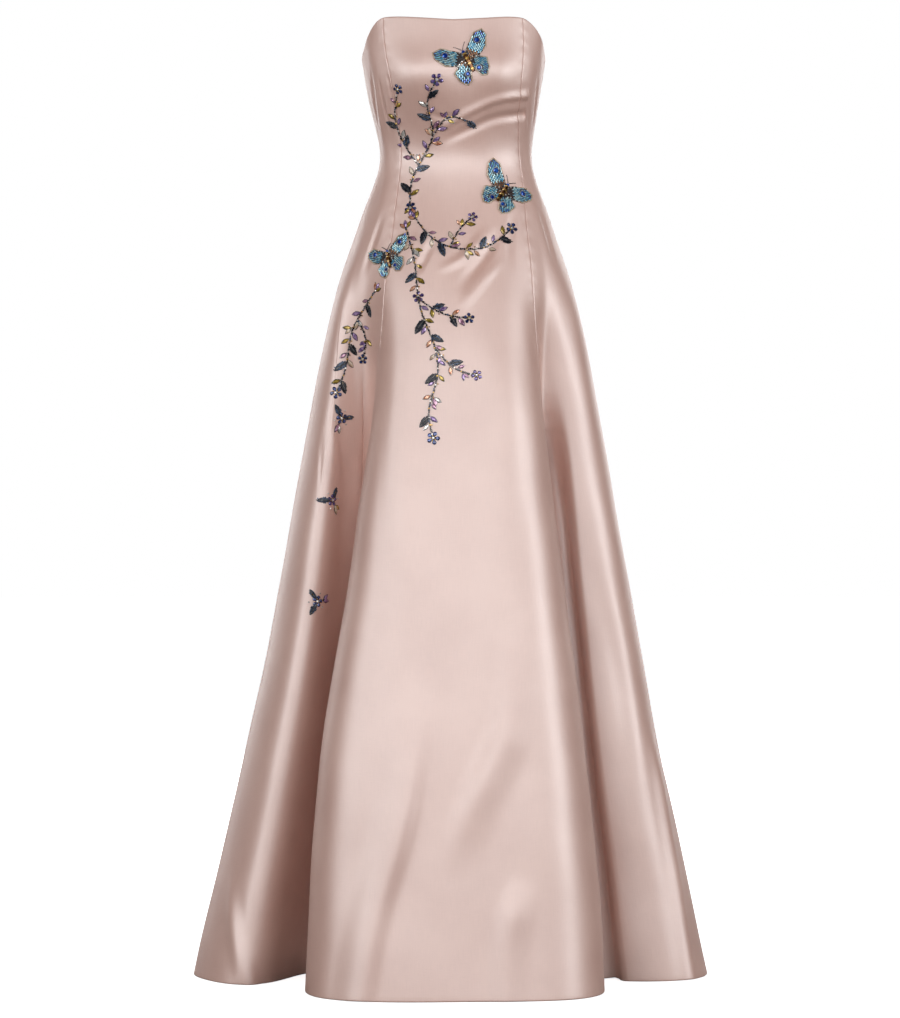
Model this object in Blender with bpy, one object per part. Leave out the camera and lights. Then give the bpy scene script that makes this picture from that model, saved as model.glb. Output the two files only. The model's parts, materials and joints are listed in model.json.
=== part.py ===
"""A strapless corset gown in heavy satin, hollow and open, in the shape it takes when worn.

Metres, +Z up. The front faces -Y and the wearer's left is +X. The origin is the middle of the
waist, where the gown holds on to its wearer, and the floor is WAIST_HEIGHT below it.

A place on the cloth is named by its thread and its height. A thread is a lengthwise line of
the cloth, numbered by its angle at the hip: 0 at the front, 90 at the wearer's left, 180 at
the centre back. Heights in the tables are above the floor.
"""

import math

import bmesh
import bpy
import numpy as np
from mathutils import Matrix, Vector
from mathutils.bvhtree import BVHTree

# Driving sizes
WAIST_HEIGHT = 1.22
WALL = 0.002
SEAM_GAP = 0.0003

# One row for each level of the body and skirt. front and back are the section's reach along Y.
# squareness 2 is an ellipse, and more is boxier. fold is how far the hem's folds have opened,
# and the two lobes say how much wider than at the hem the front's rounded edges stand.
SECTIONS = [
    # height, centre, half_width, front, back, squareness, fold, right_lobe, left_lobe
    (1.450, -0.0035, 0.1420, -0.1090, 0.0900, 2.30, 0.00, 1.00, 1.00),
    (1.390, -0.0035, 0.1388, -0.1210, 0.0890, 2.35, 0.00, 1.00, 1.00),
    (1.350, -0.0033, 0.1335, -0.1270, 0.0870, 2.35, 0.00, 1.00, 1.00),
    (1.310, -0.0028, 0.1266, -0.1180, 0.0840, 2.25, 0.00, 1.00, 1.00),
    (1.265, -0.0010, 0.1175, -0.0980, 0.0810, 2.15, 0.00, 1.00, 1.00),
    (1.225, 0.0000, 0.1142, -0.0870, 0.0800, 2.10, 0.00, 1.00, 1.00),
    (1.190, 0.0000, 0.1225, -0.0905, 0.0850, 2.10, 0.00, 1.00, 1.00),
    (1.150, 0.0000, 0.1375, -0.1020, 0.0980, 2.10, 0.00, 1.00, 1.00),
    (1.107, 0.0000, 0.1517, -0.1170, 0.1150, 2.10, 0.02, 1.00, 1.00),
    (1.062, 0.0000, 0.1675, -0.1320, 0.1320, 2.10, 0.07, 1.00, 1.00),
    (1.017, 0.0002, 0.1812, -0.1460, 0.1480, 2.10, 0.16, 1.00, 1.00),
    (0.972, 0.0005, 0.1922, -0.1580, 0.1620, 2.08, 0.29, 1.00, 1.01),
    (0.882, 0.0010, 0.2103, -0.1780, 0.1840, 2.05, 0.51, 1.01, 1.03),
    (0.790, 0.0016, 0.2272, -0.1950, 0.2030, 2.00, 0.66, 1.04, 1.04),
    (0.700, 0.0022, 0.2432, -0.2100, 0.2200, 2.00, 0.77, 1.07, 1.05),
    (0.520, 0.0028, 0.2756, -0.2380, 0.2520, 2.00, 0.89, 1.11, 1.07),
    (0.340, 0.0014, 0.3115, -0.2630, 0.2820, 2.00, 0.95, 1.13, 1.08),
    (0.160, 0.0008, 0.3520, -0.2850, 0.3100, 2.00, 0.98, 1.06, 1.05),
    (0.000, 0.0005, 0.3872, -0.3030, 0.3300, 2.00, 1.00, 1.00, 1.00),
]
LOBE_THREAD = 38.0
LOBE_FADE = 24.0

# Where each seam's thread runs, as an angle round the section, at each height. turn is how
# far the front of the bodice is turned on its wearer.
SEAM_ANGLES = [
    # height, front_princess, side, back_princess, turn
    (1.450, 43.8, 80.0, 138.0, -3.0),
    (1.380, 44.8, 80.5, 139.0, -1.8),
    (1.317, 45.0, 81.0, 140.0, 0.0),
    (1.265, 47.5, 82.0, 141.0, 2.2),
    (1.215, 49.6, 83.0, 142.0, 4.2),
    (1.160, 44.5, 84.0, 142.0, 2.6),
    (1.093, 40.4, 85.0, 142.0, 1.0),
    (1.011, 37.8, 85.0, 142.0, 0.0),
    (0.930, 37.0, 85.0, 142.0, 0.0),
]
FRONT_PRINCESS = 38.0
SIDE = 85.0
BACK_PRINCESS = 142.0

# The top edge: a shallow dip between the cups, rounded corners and a straight back.
NECKLINE = [
    # thread, height
    (0.0, 1.4250),
    (18.0, 1.4280),
    (32.0, 1.4305),
    (40.0, 1.4290),
    (52.0, 1.4180),
    (64.0, 1.4020),
    (78.0, 1.3850),
    (95.0, 1.3740),
    (120.0, 1.3660),
    (150.0, 1.3610),
    (180.0, 1.3600),
]

# The folds at the floor, one row for each turn of the cloth, round from the wearer's right.
HEM_FOLDS = [
    # thread, x, y
    (-171.0, -0.042, 0.318),
    (-161.0, -0.095, 0.333),
    (-151.0, -0.155, 0.322),
    (-142.0, -0.203, 0.285),
    (-134.0, -0.216, 0.240),
    (-127.0, -0.204, 0.202),
    (-120.0, -0.216, 0.178),
    (-113.0, -0.256, 0.192),
    (-106.0, -0.308, 0.198),
    (-99.0, -0.356, 0.172),
    (-92.0, -0.386, 0.110),
    (-85.0, -0.391, 0.040),
    (-79.0, -0.366, -0.030),
    (-73.0, -0.322, -0.078),
    (-68.0, -0.278, -0.054),
    (-64.0, -0.250, 0.002),
    (-60.0, -0.230, 0.046),
    (-56.5, -0.210, 0.072),
    (-53.0, -0.188, 0.078),
    (-50.0, -0.174, 0.052),
    (-46.0, -0.176, 0.002),
    (-42.0, -0.192, -0.050),
    (-38.0, -0.216, -0.102),
    (-33.5, -0.229, -0.160),
    (-29.0, -0.222, -0.214),
    (-23.0, -0.194, -0.262),
    (-16.0, -0.140, -0.293),
    (-8.0, -0.075, -0.304),
    (0.0, 0.000, -0.303),
    (8.0, 0.077, -0.302),
    (16.0, 0.143, -0.289),
    (23.0, 0.184, -0.256),
    (29.0, 0.206, -0.205),
    (33.5, 0.209, -0.152),
    (38.0, 0.197, -0.106),
    (42.0, 0.177, -0.076),
    (45.5, 0.161, -0.050),
    (48.5, 0.168, -0.028),
    (52.0, 0.196, -0.036),
    (57.0, 0.240, -0.061),
    (63.0, 0.291, -0.070),
    (69.0, 0.339, -0.055),
    (76.0, 0.373, -0.012),
    (84.0, 0.385, 0.048),
    (92.0, 0.377, 0.112),
    (99.0, 0.349, 0.168),
    (106.0, 0.304, 0.196),
    (113.0, 0.254, 0.194),
    (120.0, 0.214, 0.180),
    (127.0, 0.205, 0.200),
    (134.0, 0.214, 0.242),
    (142.0, 0.204, 0.284),
    (151.0, 0.152, 0.324),
    (161.0, 0.092, 0.334),
    (171.0, 0.040, 0.318),
    (180.0, 0.000, 0.306),
]

# Soft mounds that the cups press into the front, placed by the angle round the section.
CUP_ANGLE = 27.0
CUP_SPREAD = 17.0
CUP_HEIGHT = 1.342
CUP_RISE = 0.034
CUP_DEPTH = 0.007

# Grid of the cloth: heights of its rows, and how finely the threads follow the folds. Rows
# above LEVEL_ROW bend with the neckline, and the rest are level.
ROW_HEIGHTS = [1.430, 1.402, 1.374, 1.346, 1.316, 1.286, 1.256, 1.225, 1.194, 1.160, 1.122, 1.080]
ROW_HEIGHTS += [1.035, 0.985, 0.925, 0.850, 0.760, 0.650, 0.520, 0.380, 0.230, 0.090, 0.000]
LEVEL_ROW = 1.225
FLAT_STEP = 0.060
TURN_STEP = math.radians(19.0)
THREAD_STEP = 0.05
HEIGHT_STEP = 0.0005

# The panels, from seam to seam, with the number of strips across each.
PANELS = [
    # name, first thread, last thread, strips
    ("front_centre", -FRONT_PRINCESS, FRONT_PRINCESS, 24),
    ("front_side_left", FRONT_PRINCESS, SIDE, 16),
    ("front_side_right", -SIDE, -FRONT_PRINCESS, 17),
    ("back_side_left", SIDE, BACK_PRINCESS, 14),
    ("back_side_right", -BACK_PRINCESS, -SIDE, 14),
    ("back_centre_left", BACK_PRINCESS, 180.0, 8),
    ("back_centre_right", -180.0, -BACK_PRINCESS, 8),
]

# The zip: a slider at the top of the centre back, and a pull tab that hangs from its bridge.
ZIP_LENGTH = 0.38
TAPE_WIDTH = 0.024
TAPE_THICKNESS = 0.0008
TAPE_STRIPS = 4
BESIDE_BACK_SEAM = 173.0
SLIDER_HEIGHT = 1.3475
SLIDER_WIDTH = 0.006
SLIDER_LENGTH = 0.009
SLIDER_THICKNESS = 0.0018
SLIDER_INSET = 0.9
BRIDGE_WIDTH = 0.0018
BRIDGE_LENGTH = 0.0070
BRIDGE_BAR = 0.0009
BRIDGE_CLEAR = 0.0016
PULL_LENGTH = 0.018
PULL_WIDTH = 0.0056
PULL_THICKNESS = 0.0010
PULL_SLOT = 0.0026
PULL_SLOT_LENGTH = 0.0066
PULL_DROP = 0.0018
PIN_SHARE = 0.9

# Beaded appliqué. Places on the front are (x, height); the bars and studs lie just off the cloth.
APPLIQUE_LIFT = 0.0006
STEM_RADIUS = 0.0012
STEM_LIFT = 0.0009
STEM_STEP = 0.010
LEAF_WIDTH = 0.36
LEAF_THICKNESS = 0.0022
FLOWER_THICKNESS = 0.0026
WING_THICKNESS = 0.0018
TOP_INSET = 0.72
WING_INSET = 0.92
WELD = 0.00001
HEADING_STEP = 0.02
SEAT_REACH = 0.02
NORMAL_SHARE = 0.7
SEAT_SHARES = (0.0, 0.4, 0.7, 1.0)

# Half of a leaf's outline from foot to tip, as shares of its half width and its length.
LEAF_HALF = [(0.35, -0.12), (1.00, 0.35), (0.80, 0.62)]
PETALS = 5
PETAL_NOTCH = 0.52

STEMS = [
    # name, points of its main stem, then for each twig the share of the way at which it
    # leaves the main stem, and its further points
    (
        "spray_bodice",
        [
            (-0.071, 1.148),
            (-0.069, 1.185),
            (-0.051, 1.225),
            (-0.038, 1.262),
            (-0.047, 1.300),
            (-0.034, 1.334),
        ],
        [
            (0.34, [(-0.080, 1.246), (-0.093, 1.286), (-0.090, 1.322)]),
            (0.56, [(-0.014, 1.281), (0.012, 1.276)]),
        ],
    ),
    (
        "spray_hip",
        [(-0.064, 1.132), (-0.038, 1.100), (0.004, 1.085), (0.046, 1.092), (0.078, 1.118)],
        [(0.40, [(0.000, 1.114), (0.020, 1.134)])],
    ),
    (
        "spray_side",
        [(-0.122, 1.026), (-0.140, 0.998), (-0.158, 0.962), (-0.165, 0.918), (-0.180, 0.876)],
        [(0.30, [(-0.136, 0.956), (-0.140, 0.926)])],
    ),
    (
        "spray_skirt",
        [
            (-0.078, 1.118),
            (-0.066, 1.064),
            (-0.058, 0.994),
            (-0.040, 0.944),
            (-0.036, 0.892),
            (-0.048, 0.846),
            (-0.042, 0.806),
        ],
        [
            (0.34, [(-0.024, 0.988), (0.012, 0.982)]),
            (0.58, [(-0.006, 0.906), (0.022, 0.898)]),
        ],
    ),
]

LEAVES = [
    # spray, stem, share of the way along it, turn away from it, length
    ("spray_bodice", 0, 0.12, 52.0, 0.024),
    ("spray_bodice", 0, 0.30, -48.0, 0.022),
    ("spray_bodice", 0, 0.52, -56.0, 0.024),
    ("spray_bodice", 0, 0.70, 50.0, 0.022),
    ("spray_bodice", 0, 0.86, -40.0, 0.020),
    ("spray_bodice", 1, 0.28, -45.0, 0.020),
    ("spray_bodice", 1, 0.55, 50.0, 0.022),
    ("spray_bodice", 1, 0.78, -42.0, 0.020),
    ("spray_bodice", 2, 0.45, 55.0, 0.018),
    ("spray_bodice", 2, 1.00, -20.0, 0.022),
    ("spray_hip", 0, 0.14, -52.0, 0.022),
    ("spray_hip", 0, 0.30, -40.0, 0.024),
    ("spray_hip", 0, 0.52, -48.0, 0.024),
    ("spray_hip", 0, 0.66, 46.0, 0.022),
    ("spray_hip", 0, 0.86, -50.0, 0.022),
    ("spray_hip", 1, 0.60, 50.0, 0.018),
    ("spray_side", 0, 0.14, 48.0, 0.022),
    ("spray_side", 0, 0.38, -50.0, 0.022),
    ("spray_side", 0, 0.54, 46.0, 0.022),
    ("spray_side", 0, 0.70, -44.0, 0.024),
    ("spray_side", 0, 0.88, 42.0, 0.022),
    ("spray_side", 1, 0.55, -48.0, 0.018),
    ("spray_skirt", 0, 0.10, 48.0, 0.024),
    ("spray_skirt", 0, 0.22, -52.0, 0.022),
    ("spray_skirt", 0, 0.44, -50.0, 0.026),
    ("spray_skirt", 0, 0.52, 44.0, 0.022),
    ("spray_skirt", 0, 0.70, -46.0, 0.024),
    ("spray_skirt", 0, 0.80, 50.0, 0.024),
    ("spray_skirt", 0, 0.90, -42.0, 0.022),
    ("spray_skirt", 1, 0.30, 52.0, 0.020),
    ("spray_skirt", 1, 0.66, -48.0, 0.020),
    ("spray_skirt", 2, 0.40, 52.0, 0.022),
    ("spray_skirt", 2, 0.72, -46.0, 0.018),
]

FLOWERS = [
    # spray, stem, share of the way along it, turn, diameter
    ("spray_bodice", 0, 0.00, 40.0, 0.018),
    ("spray_bodice", 0, 1.00, 0.0, 0.019),
    ("spray_bodice", 1, 1.00, 20.0, 0.016),
    ("spray_hip", 0, 1.00, 10.0, 0.018),
    ("spray_hip", 1, 1.00, 30.0, 0.015),
    ("spray_side", 0, 1.00, 15.0, 0.018),
    ("spray_side", 1, 1.00, 50.0, 0.015),
    ("spray_skirt", 0, 0.33, 35.0, 0.017),
    ("spray_skirt", 0, 1.00, 0.0, 0.019),
    ("spray_skirt", 1, 1.00, 25.0, 0.016),
    ("spray_skirt", 2, 1.00, 55.0, 0.016),
]

BLOSSOMS = [
    # name, x, height, turn, diameter
    ("blossom_upper", -0.172, 0.838, 10.0, 0.018),
    ("blossom_middle", -0.186, 0.716, 70.0, 0.017),
    ("blossom_lower", -0.208, 0.566, 130.0, 0.017),
]
BLOSSOM_LEAVES = [
    # turn, length
    (20.0, 0.022),
    (150.0, 0.024),
    (265.0, 0.020),
]

BUTTERFLIES = [
    # name, x, height, turn, size
    ("butterfly_bust", 0.012, 1.362, 28.0, 1.0),
    ("butterfly_waist", 0.066, 1.172, -38.0, 1.0),
    ("butterfly_hip", -0.103, 1.072, 24.0, 0.85),
]
BUTTERFLY_LENGTH = 0.034
BUTTERFLY_GIRTH = 0.0034

# Half of its body's outline from tail to head, as shares of its girth and its half length.
BODY_HALF = [(0.6, -1.0), (1.0, 0.0), (1.0, 0.7)]
WING_OUTLINES = [
    # the right-hand upper wing, then the lower one: (x, y) from the middle of the body
    [
        (-0.001, -0.001),
        (0.014, -0.002),
        (0.034, 0.008),
        (0.043, 0.024),
        (0.041, 0.034),
        (0.027, 0.034),
        (0.005, 0.015),
    ],
    [
        (-0.001, 0.004),
        (-0.001, -0.006),
        (0.008, -0.028),
        (0.016, -0.031),
        (0.024, -0.022),
        (0.027, -0.008),
        (0.012, 0.002),
    ],
]

SATIN = ("blush_satin", (0.72, 0.50, 0.44), 0.42, 0.0)
NYLON = ("zip_tape_nylon", (0.62, 0.45, 0.40), 0.70, 0.0)
ZINC = ("zip_enamelled_zinc", (0.66, 0.48, 0.43), 0.35, 0.3)
DARK_BEADS = ("slate_glass_beads", (0.02, 0.03, 0.06), 0.20, 0.2)
BLUE_BEADS = ("turquoise_glass_beads", (0.10, 0.36, 0.42), 0.15, 0.3)


def spline_through(knots, values, at, period=None):
    """A smooth cubic through the values, natural at its ends or closed when it has a period."""
    x = np.asarray(knots, float)
    y = np.asarray(values, float)
    at = np.asarray(at, float)
    if period:
        x = np.append(x, x[0] + period)
        y = np.append(y, y[:1], axis=0)
        at = x[0] + np.mod(at - x[0], period)
    step = np.diff(x)
    slope = np.diff(y) / step
    count = len(x)
    rows = np.zeros((count, count))
    right = np.zeros(count)
    for i in range(1, count - 1):
        rows[i, i - 1 : i + 2] = step[i - 1], 2 * (step[i - 1] + step[i]), step[i]
        right[i] = 6 * (slope[i] - slope[i - 1])
    if period:
        rows[0, [0, 1, count - 2]] = 2 * (step[0] + step[-1]), step[0], step[-1]
        right[0] = 6 * (slope[0] - slope[-1])
        rows[-1, [0, -1]] = 1, -1
    else:
        rows[0, 0] = rows[-1, -1] = 1
    bend = np.linalg.solve(rows, right)
    i = np.clip(np.searchsorted(x, at, side="right") - 1, 0, count - 2)
    h = step[i]
    low = (x[i + 1] - at) / h
    high = (at - x[i]) / h
    curve = (low**3 - low) * bend[i] + (high**3 - high) * bend[i + 1]
    return low * y[i] + high * y[i + 1] + curve * h * h / 6


def column(table, number):
    return [row[number] for row in table]


def section_value(number, height):
    """One column of SECTIONS, read smoothly at the heights."""
    rows = SECTIONS[::-1]
    return spline_through(column(rows, 0), column(rows, number), height)


def angle_of(thread, height):
    """The angle round the section at which a thread runs, in radians."""
    rows = SEAM_ANGLES[::-1]
    heights = column(rows, 0)
    size = np.abs(thread)
    height = np.clip(height, heights[0], heights[-1])
    princess, side, back, turn = (
        spline_through(heights, column(rows, n), height) for n in range(1, 5)
    )
    front_part = size / FRONT_PRINCESS * princess
    side_part = princess + (size - FRONT_PRINCESS) / (SIDE - FRONT_PRINCESS) * (side - princess)
    back_part = side + (size - SIDE) / (BACK_PRINCESS - SIDE) * (back - side)
    last_part = back + (size - BACK_PRINCESS) / (180 - BACK_PRINCESS) * (180 - back)
    angle = np.select(
        [size <= FRONT_PRINCESS, size <= SIDE, size <= BACK_PRINCESS],
        [front_part, side_part, back_part],
        last_part,
    )
    towards_front = (1 + np.cos(np.radians(size))) / 2
    return np.radians(np.sign(thread) * angle + turn * towards_front)


def eased(share):
    """0 to 1 with soft ends."""
    share = np.clip(share, 0, 1)
    return share * share * (3 - 2 * share)


def cloth_point(thread, height):
    """The outside of the cloth at a thread and a height above the floor, as rows of x, y, z."""
    thread, height = np.broadcast_arrays(np.asarray(thread, float), np.asarray(height, float))
    centre, half_width, front, back, squareness, fold, right_lobe, left_lobe = (
        section_value(n, height) for n in range(1, 9)
    )
    fold = np.clip(fold, 0, 1)
    angle = angle_of(thread, height)
    across, along = np.sin(angle), -np.cos(angle)
    reach = (np.abs(across) ** squareness + np.abs(along) ** squareness) ** (-1 / squareness)
    hem_half, hem_front, hem_back = SECTIONS[-1][2:5]
    hem_x = spline_through(column(HEM_FOLDS, 0), column(HEM_FOLDS, 1), thread, period=360)
    hem_y = spline_through(column(HEM_FOLDS, 0), column(HEM_FOLDS, 2), thread, period=360)
    hem_middle, hem_depth = (hem_front + hem_back) / 2, (hem_back - hem_front) / 2
    x = (1 - fold) * across * reach + fold * hem_x / hem_half
    y = (1 - fold) * along * reach + fold * (hem_y - hem_middle) / hem_depth
    lobe = np.where(thread < 0, right_lobe, left_lobe) - 1
    x = x * (1 + lobe * eased(1 - (np.abs(thread) - LOBE_THREAD) / LOBE_FADE))
    point_x = centre + x * half_width
    point_y = (front + back) / 2 + y * (back - front) / 2
    degrees = np.degrees(angle)
    sideways = np.exp(-(((np.abs(degrees) - CUP_ANGLE) / CUP_SPREAD) ** 2))
    point_y = point_y - CUP_DEPTH * sideways * np.exp(-(((height - CUP_HEIGHT) / CUP_RISE) ** 2))
    return np.stack([point_x, point_y, height - WAIST_HEIGHT], axis=-1)


def outward(thread, height):
    """The unit direction straight out of the cloth."""
    above, below = (cloth_point(thread, height + step) for step in (HEIGHT_STEP, -HEIGHT_STEP))
    after, before = (cloth_point(thread + step, height) for step in (THREAD_STEP, -THREAD_STEP))
    normal = np.cross(after - before, above - below)
    return normal / np.linalg.norm(normal, axis=-1, keepdims=True)


def neckline(thread):
    """Height of the top edge."""
    return spline_through(column(NECKLINE, 0), column(NECKLINE, 1), np.abs(thread))


def row_heights(threads):
    """Height of each row on each thread: the top rows follow the neckline, the rest are level."""
    rows = np.asarray(ROW_HEIGHTS)[:, None]
    top = ROW_HEIGHTS[0]
    share = np.clip((rows - LEVEL_ROW) / (top - LEVEL_ROW), 0, None)
    return rows + (neckline(threads)[None, :] - top) * share


def threads_between(first, last, strips):
    """Threads across a panel, closer where the hem turns."""
    fine = np.linspace(first, last, 400)
    hem = cloth_point(fine, 0.0)[:, :2]
    step = np.diff(hem, axis=0)
    heading = np.unwrap(np.arctan2(step[:, 1], step[:, 0]))
    turn = np.abs(np.diff(heading, append=heading[-1]))
    cost = np.linalg.norm(step, axis=1) / FLAT_STEP + turn / TURN_STEP
    total = np.append(0, np.cumsum(cost))
    return np.interp(np.linspace(0, total[-1], strips + 1), total, fine)


def material(name, colour, roughness, metallic):
    made = bpy.data.materials.get(name) or bpy.data.materials.new(name)
    made.use_nodes = True
    shader = made.node_tree.nodes["Principled BSDF"]
    shader.inputs["Base Color"].default_value = (*colour, 1)
    shader.inputs["Roughness"].default_value = roughness
    shader.inputs["Metallic"].default_value = metallic
    return made


def finished(obj, finish, parts):
    """Puts an object in the gown's collection with its material."""
    obj.data.materials.clear()
    obj.data.materials.append(material(*finish))
    for other in list(obj.users_collection):
        other.objects.unlink(obj)
    parts.objects.link(obj)
    return obj


def walled_sheet(name, outer, inner, finish, parts):
    """A closed wall between two grids of points of the same shape."""
    rows, columns = outer.shape[:2]
    mesh = bmesh.new()
    out = [[mesh.verts.new(outer[r, c]) for c in range(columns)] for r in range(rows)]
    back = [[mesh.verts.new(inner[r, c]) for c in range(columns)] for r in range(rows)]
    for r in range(rows - 1):
        for c in range(columns - 1):
            mesh.faces.new((out[r][c], out[r + 1][c], out[r + 1][c + 1], out[r][c + 1]))
            mesh.faces.new((back[r][c], back[r][c + 1], back[r + 1][c + 1], back[r + 1][c]))
    rim = [(0, c) for c in range(columns)]
    rim += [(r, columns - 1) for r in range(1, rows)]
    rim += [(rows - 1, c) for c in range(columns - 2, -1, -1)]
    rim += [(r, 0) for r in range(rows - 2, 0, -1)]
    for (r, c), (s, d) in zip(rim, rim[1:] + rim[:1]):
        mesh.faces.new((out[r][c], out[s][d], back[s][d], back[r][c]))
    bmesh.ops.triangulate(mesh, faces=mesh.faces)
    bmesh.ops.recalc_face_normals(mesh, faces=mesh.faces)
    data = bpy.data.meshes.new(name)
    mesh.to_mesh(data)
    mesh.free()
    data.shade_smooth()
    return finished(bpy.data.objects.new(name, data), finish, parts)


def panel(name, first, last, strips, parts):
    """One gore of the gown from neckline to hem, its long edges drawn in by half a seam gap."""
    threads = threads_between(first, last, strips)
    heights = row_heights(threads)
    grid = np.broadcast_to(threads, heights.shape)
    outer = cloth_point(grid, heights)
    for edge, side in ((0, 1), (-1, -1)):
        near = cloth_point(grid[:, edge] + THREAD_STEP * side, heights[:, edge]) - outer[:, edge]
        outer[:, edge] += near / np.linalg.norm(near, axis=1, keepdims=True) * SEAM_GAP / 2
    return walled_sheet(name, outer, outer - WALL * outward(grid, heights), SATIN, parts)


def zip_tape(parts):
    """The zip's tape and coil inside the centre back, from the top edge to below the waist."""
    rows = row_heights(np.array([180.0]))[:, 0]
    rows = rows[rows > rows[0] - ZIP_LENGTH]
    seam = cloth_point(180.0, rows)
    out = outward(180.0, rows)
    left, right = (cloth_point(side * BESIDE_BACK_SEAM, rows) - seam for side in (1, -1))
    strips = [
        seam + (left if offset > 0 else right) * abs(offset) / np.abs(left[:, :1])
        for offset in np.linspace(-1, 1, TAPE_STRIPS + 1) * TAPE_WIDTH / 2
    ]
    outer = np.stack(strips, axis=1) - (WALL + SEAM_GAP) * out[:, None]
    inner = outer - TAPE_THICKNESS * out[:, None]
    return walled_sheet("zip_tape", outer, inner, NYLON, parts)


class Cloth:
    """The gown's outside, searched from in front or from behind for seating small pieces on it."""

    def __init__(self, panels):
        mesh = bmesh.new()
        for obj in panels:
            mesh.from_mesh(obj.data)
        self.tree = BVHTree.FromBMesh(mesh)
        mesh.free()

    def under(self, x, height, facing=-1):
        """The cloth's place and outward direction where a level look at x and height meets it."""
        start = Vector((x, 2 * facing, height - WAIST_HEIGHT))
        place, normal, _, _ = self.tree.ray_cast(start, Vector((0, -facing, 0)))
        return place, normal

    def seat(self, x, height, turn, outline, facing=-1, lift=APPLIQUE_LIFT):
        """The frame of a flat piece with this outline, laid on the cloth just clear of it."""
        place, normal = self.under(x, height, facing)
        spin = math.radians(turn)
        for reach_x, reach_y in outline:
            aside = (reach_x * math.cos(spin) - reach_y * math.sin(spin)) * -facing
            above = reach_x * math.sin(spin) + reach_y * math.cos(spin)
            around = self.under(x + aside * NORMAL_SHARE, height + above * NORMAL_SHARE, facing)
            normal = normal + around[1]
        normal.normalize()
        right = Vector((0, 0, 1)).cross(normal).normalized()
        frame = Matrix((right, normal.cross(right), normal)).transposed().to_4x4()
        frame = Matrix.Translation(place) @ frame @ Matrix.Rotation(math.radians(turn), 4, "Z")
        rise = 0.0
        for share in SEAT_SHARES:
            for point, after in zip(outline, outline[1:] + outline[:1]):
                for blend in (0.0, 0.5):
                    flat = [share * (a + (b - a) * blend) for a, b in zip(point, after)]
                    start = frame @ Vector((*flat, SEAT_REACH))
                    _, _, _, distance = self.tree.ray_cast(start, -normal)
                    rise = max(rise, SEAT_REACH - (distance or SEAT_REACH))
        return frame @ Matrix.Translation((0, 0, rise + lift))


def slab(name, outline, thickness, inset, frame, finish, parts):
    """A flat piece with its top drawn in, standing on its frame's XY plane."""
    mesh = bmesh.new()
    middle = np.mean(outline, axis=0)
    top = middle + inset * (np.asarray(outline) - middle)
    low = [mesh.verts.new((x, y, 0)) for x, y in outline]
    high = [mesh.verts.new((x, y, thickness)) for x, y in top]
    mesh.faces.new(low[::-1])
    mesh.faces.new(high)
    for i in range(len(outline)):
        mesh.faces.new((low[i - 1], low[i], high[i], high[i - 1]))
    data = bpy.data.meshes.new(name)
    mesh.to_mesh(data)
    mesh.free()
    obj = bpy.data.objects.new(name, data)
    obj.matrix_world = frame
    return finished(obj, finish, parts)


def box(name, low, high, frame, finish, parts):
    """A block between two corners in a frame, with its origin at the frame's."""
    bpy.ops.mesh.primitive_cube_add(size=1)
    obj = bpy.context.object
    obj.name = name
    middle = (Vector(low) + Vector(high)) / 2
    size = Vector(high) - Vector(low)
    obj.data.transform(Matrix.Translation(middle) @ Matrix.Diagonal((*size, 1)))
    obj.matrix_world = frame
    return finished(obj, finish, parts)


def joined(obj, others):
    """Joins the other shapes to this one, and keeps them as hidden helpers."""
    for other in others:
        other.hide_render = True
        other.display_type = "WIRE"
        union = obj.modifiers.new("join " + other.name, "BOOLEAN")
        union.operation = "UNION"
        union.object = other
    return obj


def mirrored_outline(half, across, up):
    """A pointed outline that is the same on both sides of its middle, from half of it as shares."""
    right = [(x * across, y * up) for x, y in half]
    return [*right, (0.0, up), *((-x, y) for x, y in right[::-1])]


def leaf_outline(length):
    """A pointed leaf that grows from the origin along +Y."""
    return mirrored_outline(LEAF_HALF, length * LEAF_WIDTH / 2, length)


def flower_outline(diameter):
    """The petals as a blunt star."""
    points = []
    for turn in range(2 * PETALS):
        radius = diameter / 2 * (PETAL_NOTCH if turn % 2 else 1)
        angle = turn * math.pi / PETALS
        points.append((radius * math.sin(angle), radius * math.cos(angle)))
    return points[::-1]


def along_stem(points, shares):
    """Places (x, height) at these shares of the way along a smooth stem."""
    lengths = np.append(0, np.cumsum(np.linalg.norm(np.diff(points, axis=0), axis=1)))
    at = np.asarray(shares) * lengths[-1]
    return np.stack([spline_through(lengths, column(points, n), at) for n in (0, 1)], axis=-1)


def heading_on(points, share):
    """The turn, in degrees, of a piece that lies along the stem there."""
    nearby = [max(share - HEADING_STEP, 0), min(share + HEADING_STEP, 1)]
    before, after = along_stem(points, nearby)
    across, up = after - before
    return math.degrees(math.atan2(-across, up))


def stem(name, points, cloth, parts):
    """A beaded stem laid along the cloth, as a mesh."""
    length = np.linalg.norm(np.diff(points, axis=0), axis=1).sum()
    places = along_stem(points, np.linspace(0, 1, int(length / STEM_STEP) + 2))
    data = bpy.data.curves.new(name, "CURVE")
    data.dimensions = "3D"
    data.bevel_depth = STEM_RADIUS
    data.bevel_resolution = 0
    data.use_fill_caps = True
    line = data.splines.new("POLY")
    line.points.add(len(places) - 1)
    for point, (x, height) in zip(line.points, places):
        place, normal = cloth.under(x, height)
        point.co = (*(place + normal * (STEM_RADIUS + STEM_LIFT)), 1)
    curve = bpy.data.objects.new("stem_line", data)
    bpy.context.scene.collection.objects.link(curve)
    bpy.context.view_layer.update()
    graph = bpy.context.evaluated_depsgraph_get()
    mesh_data = bpy.data.meshes.new_from_object(curve.evaluated_get(graph))
    bpy.data.objects.remove(curve)
    mesh = bmesh.new()
    mesh.from_mesh(mesh_data)
    bmesh.ops.remove_doubles(mesh, verts=mesh.verts, dist=WELD)
    bmesh.ops.recalc_face_normals(mesh, faces=mesh.faces)
    mesh.to_mesh(mesh_data)
    mesh.free()
    return finished(bpy.data.objects.new(name, mesh_data), DARK_BEADS, parts)


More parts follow.
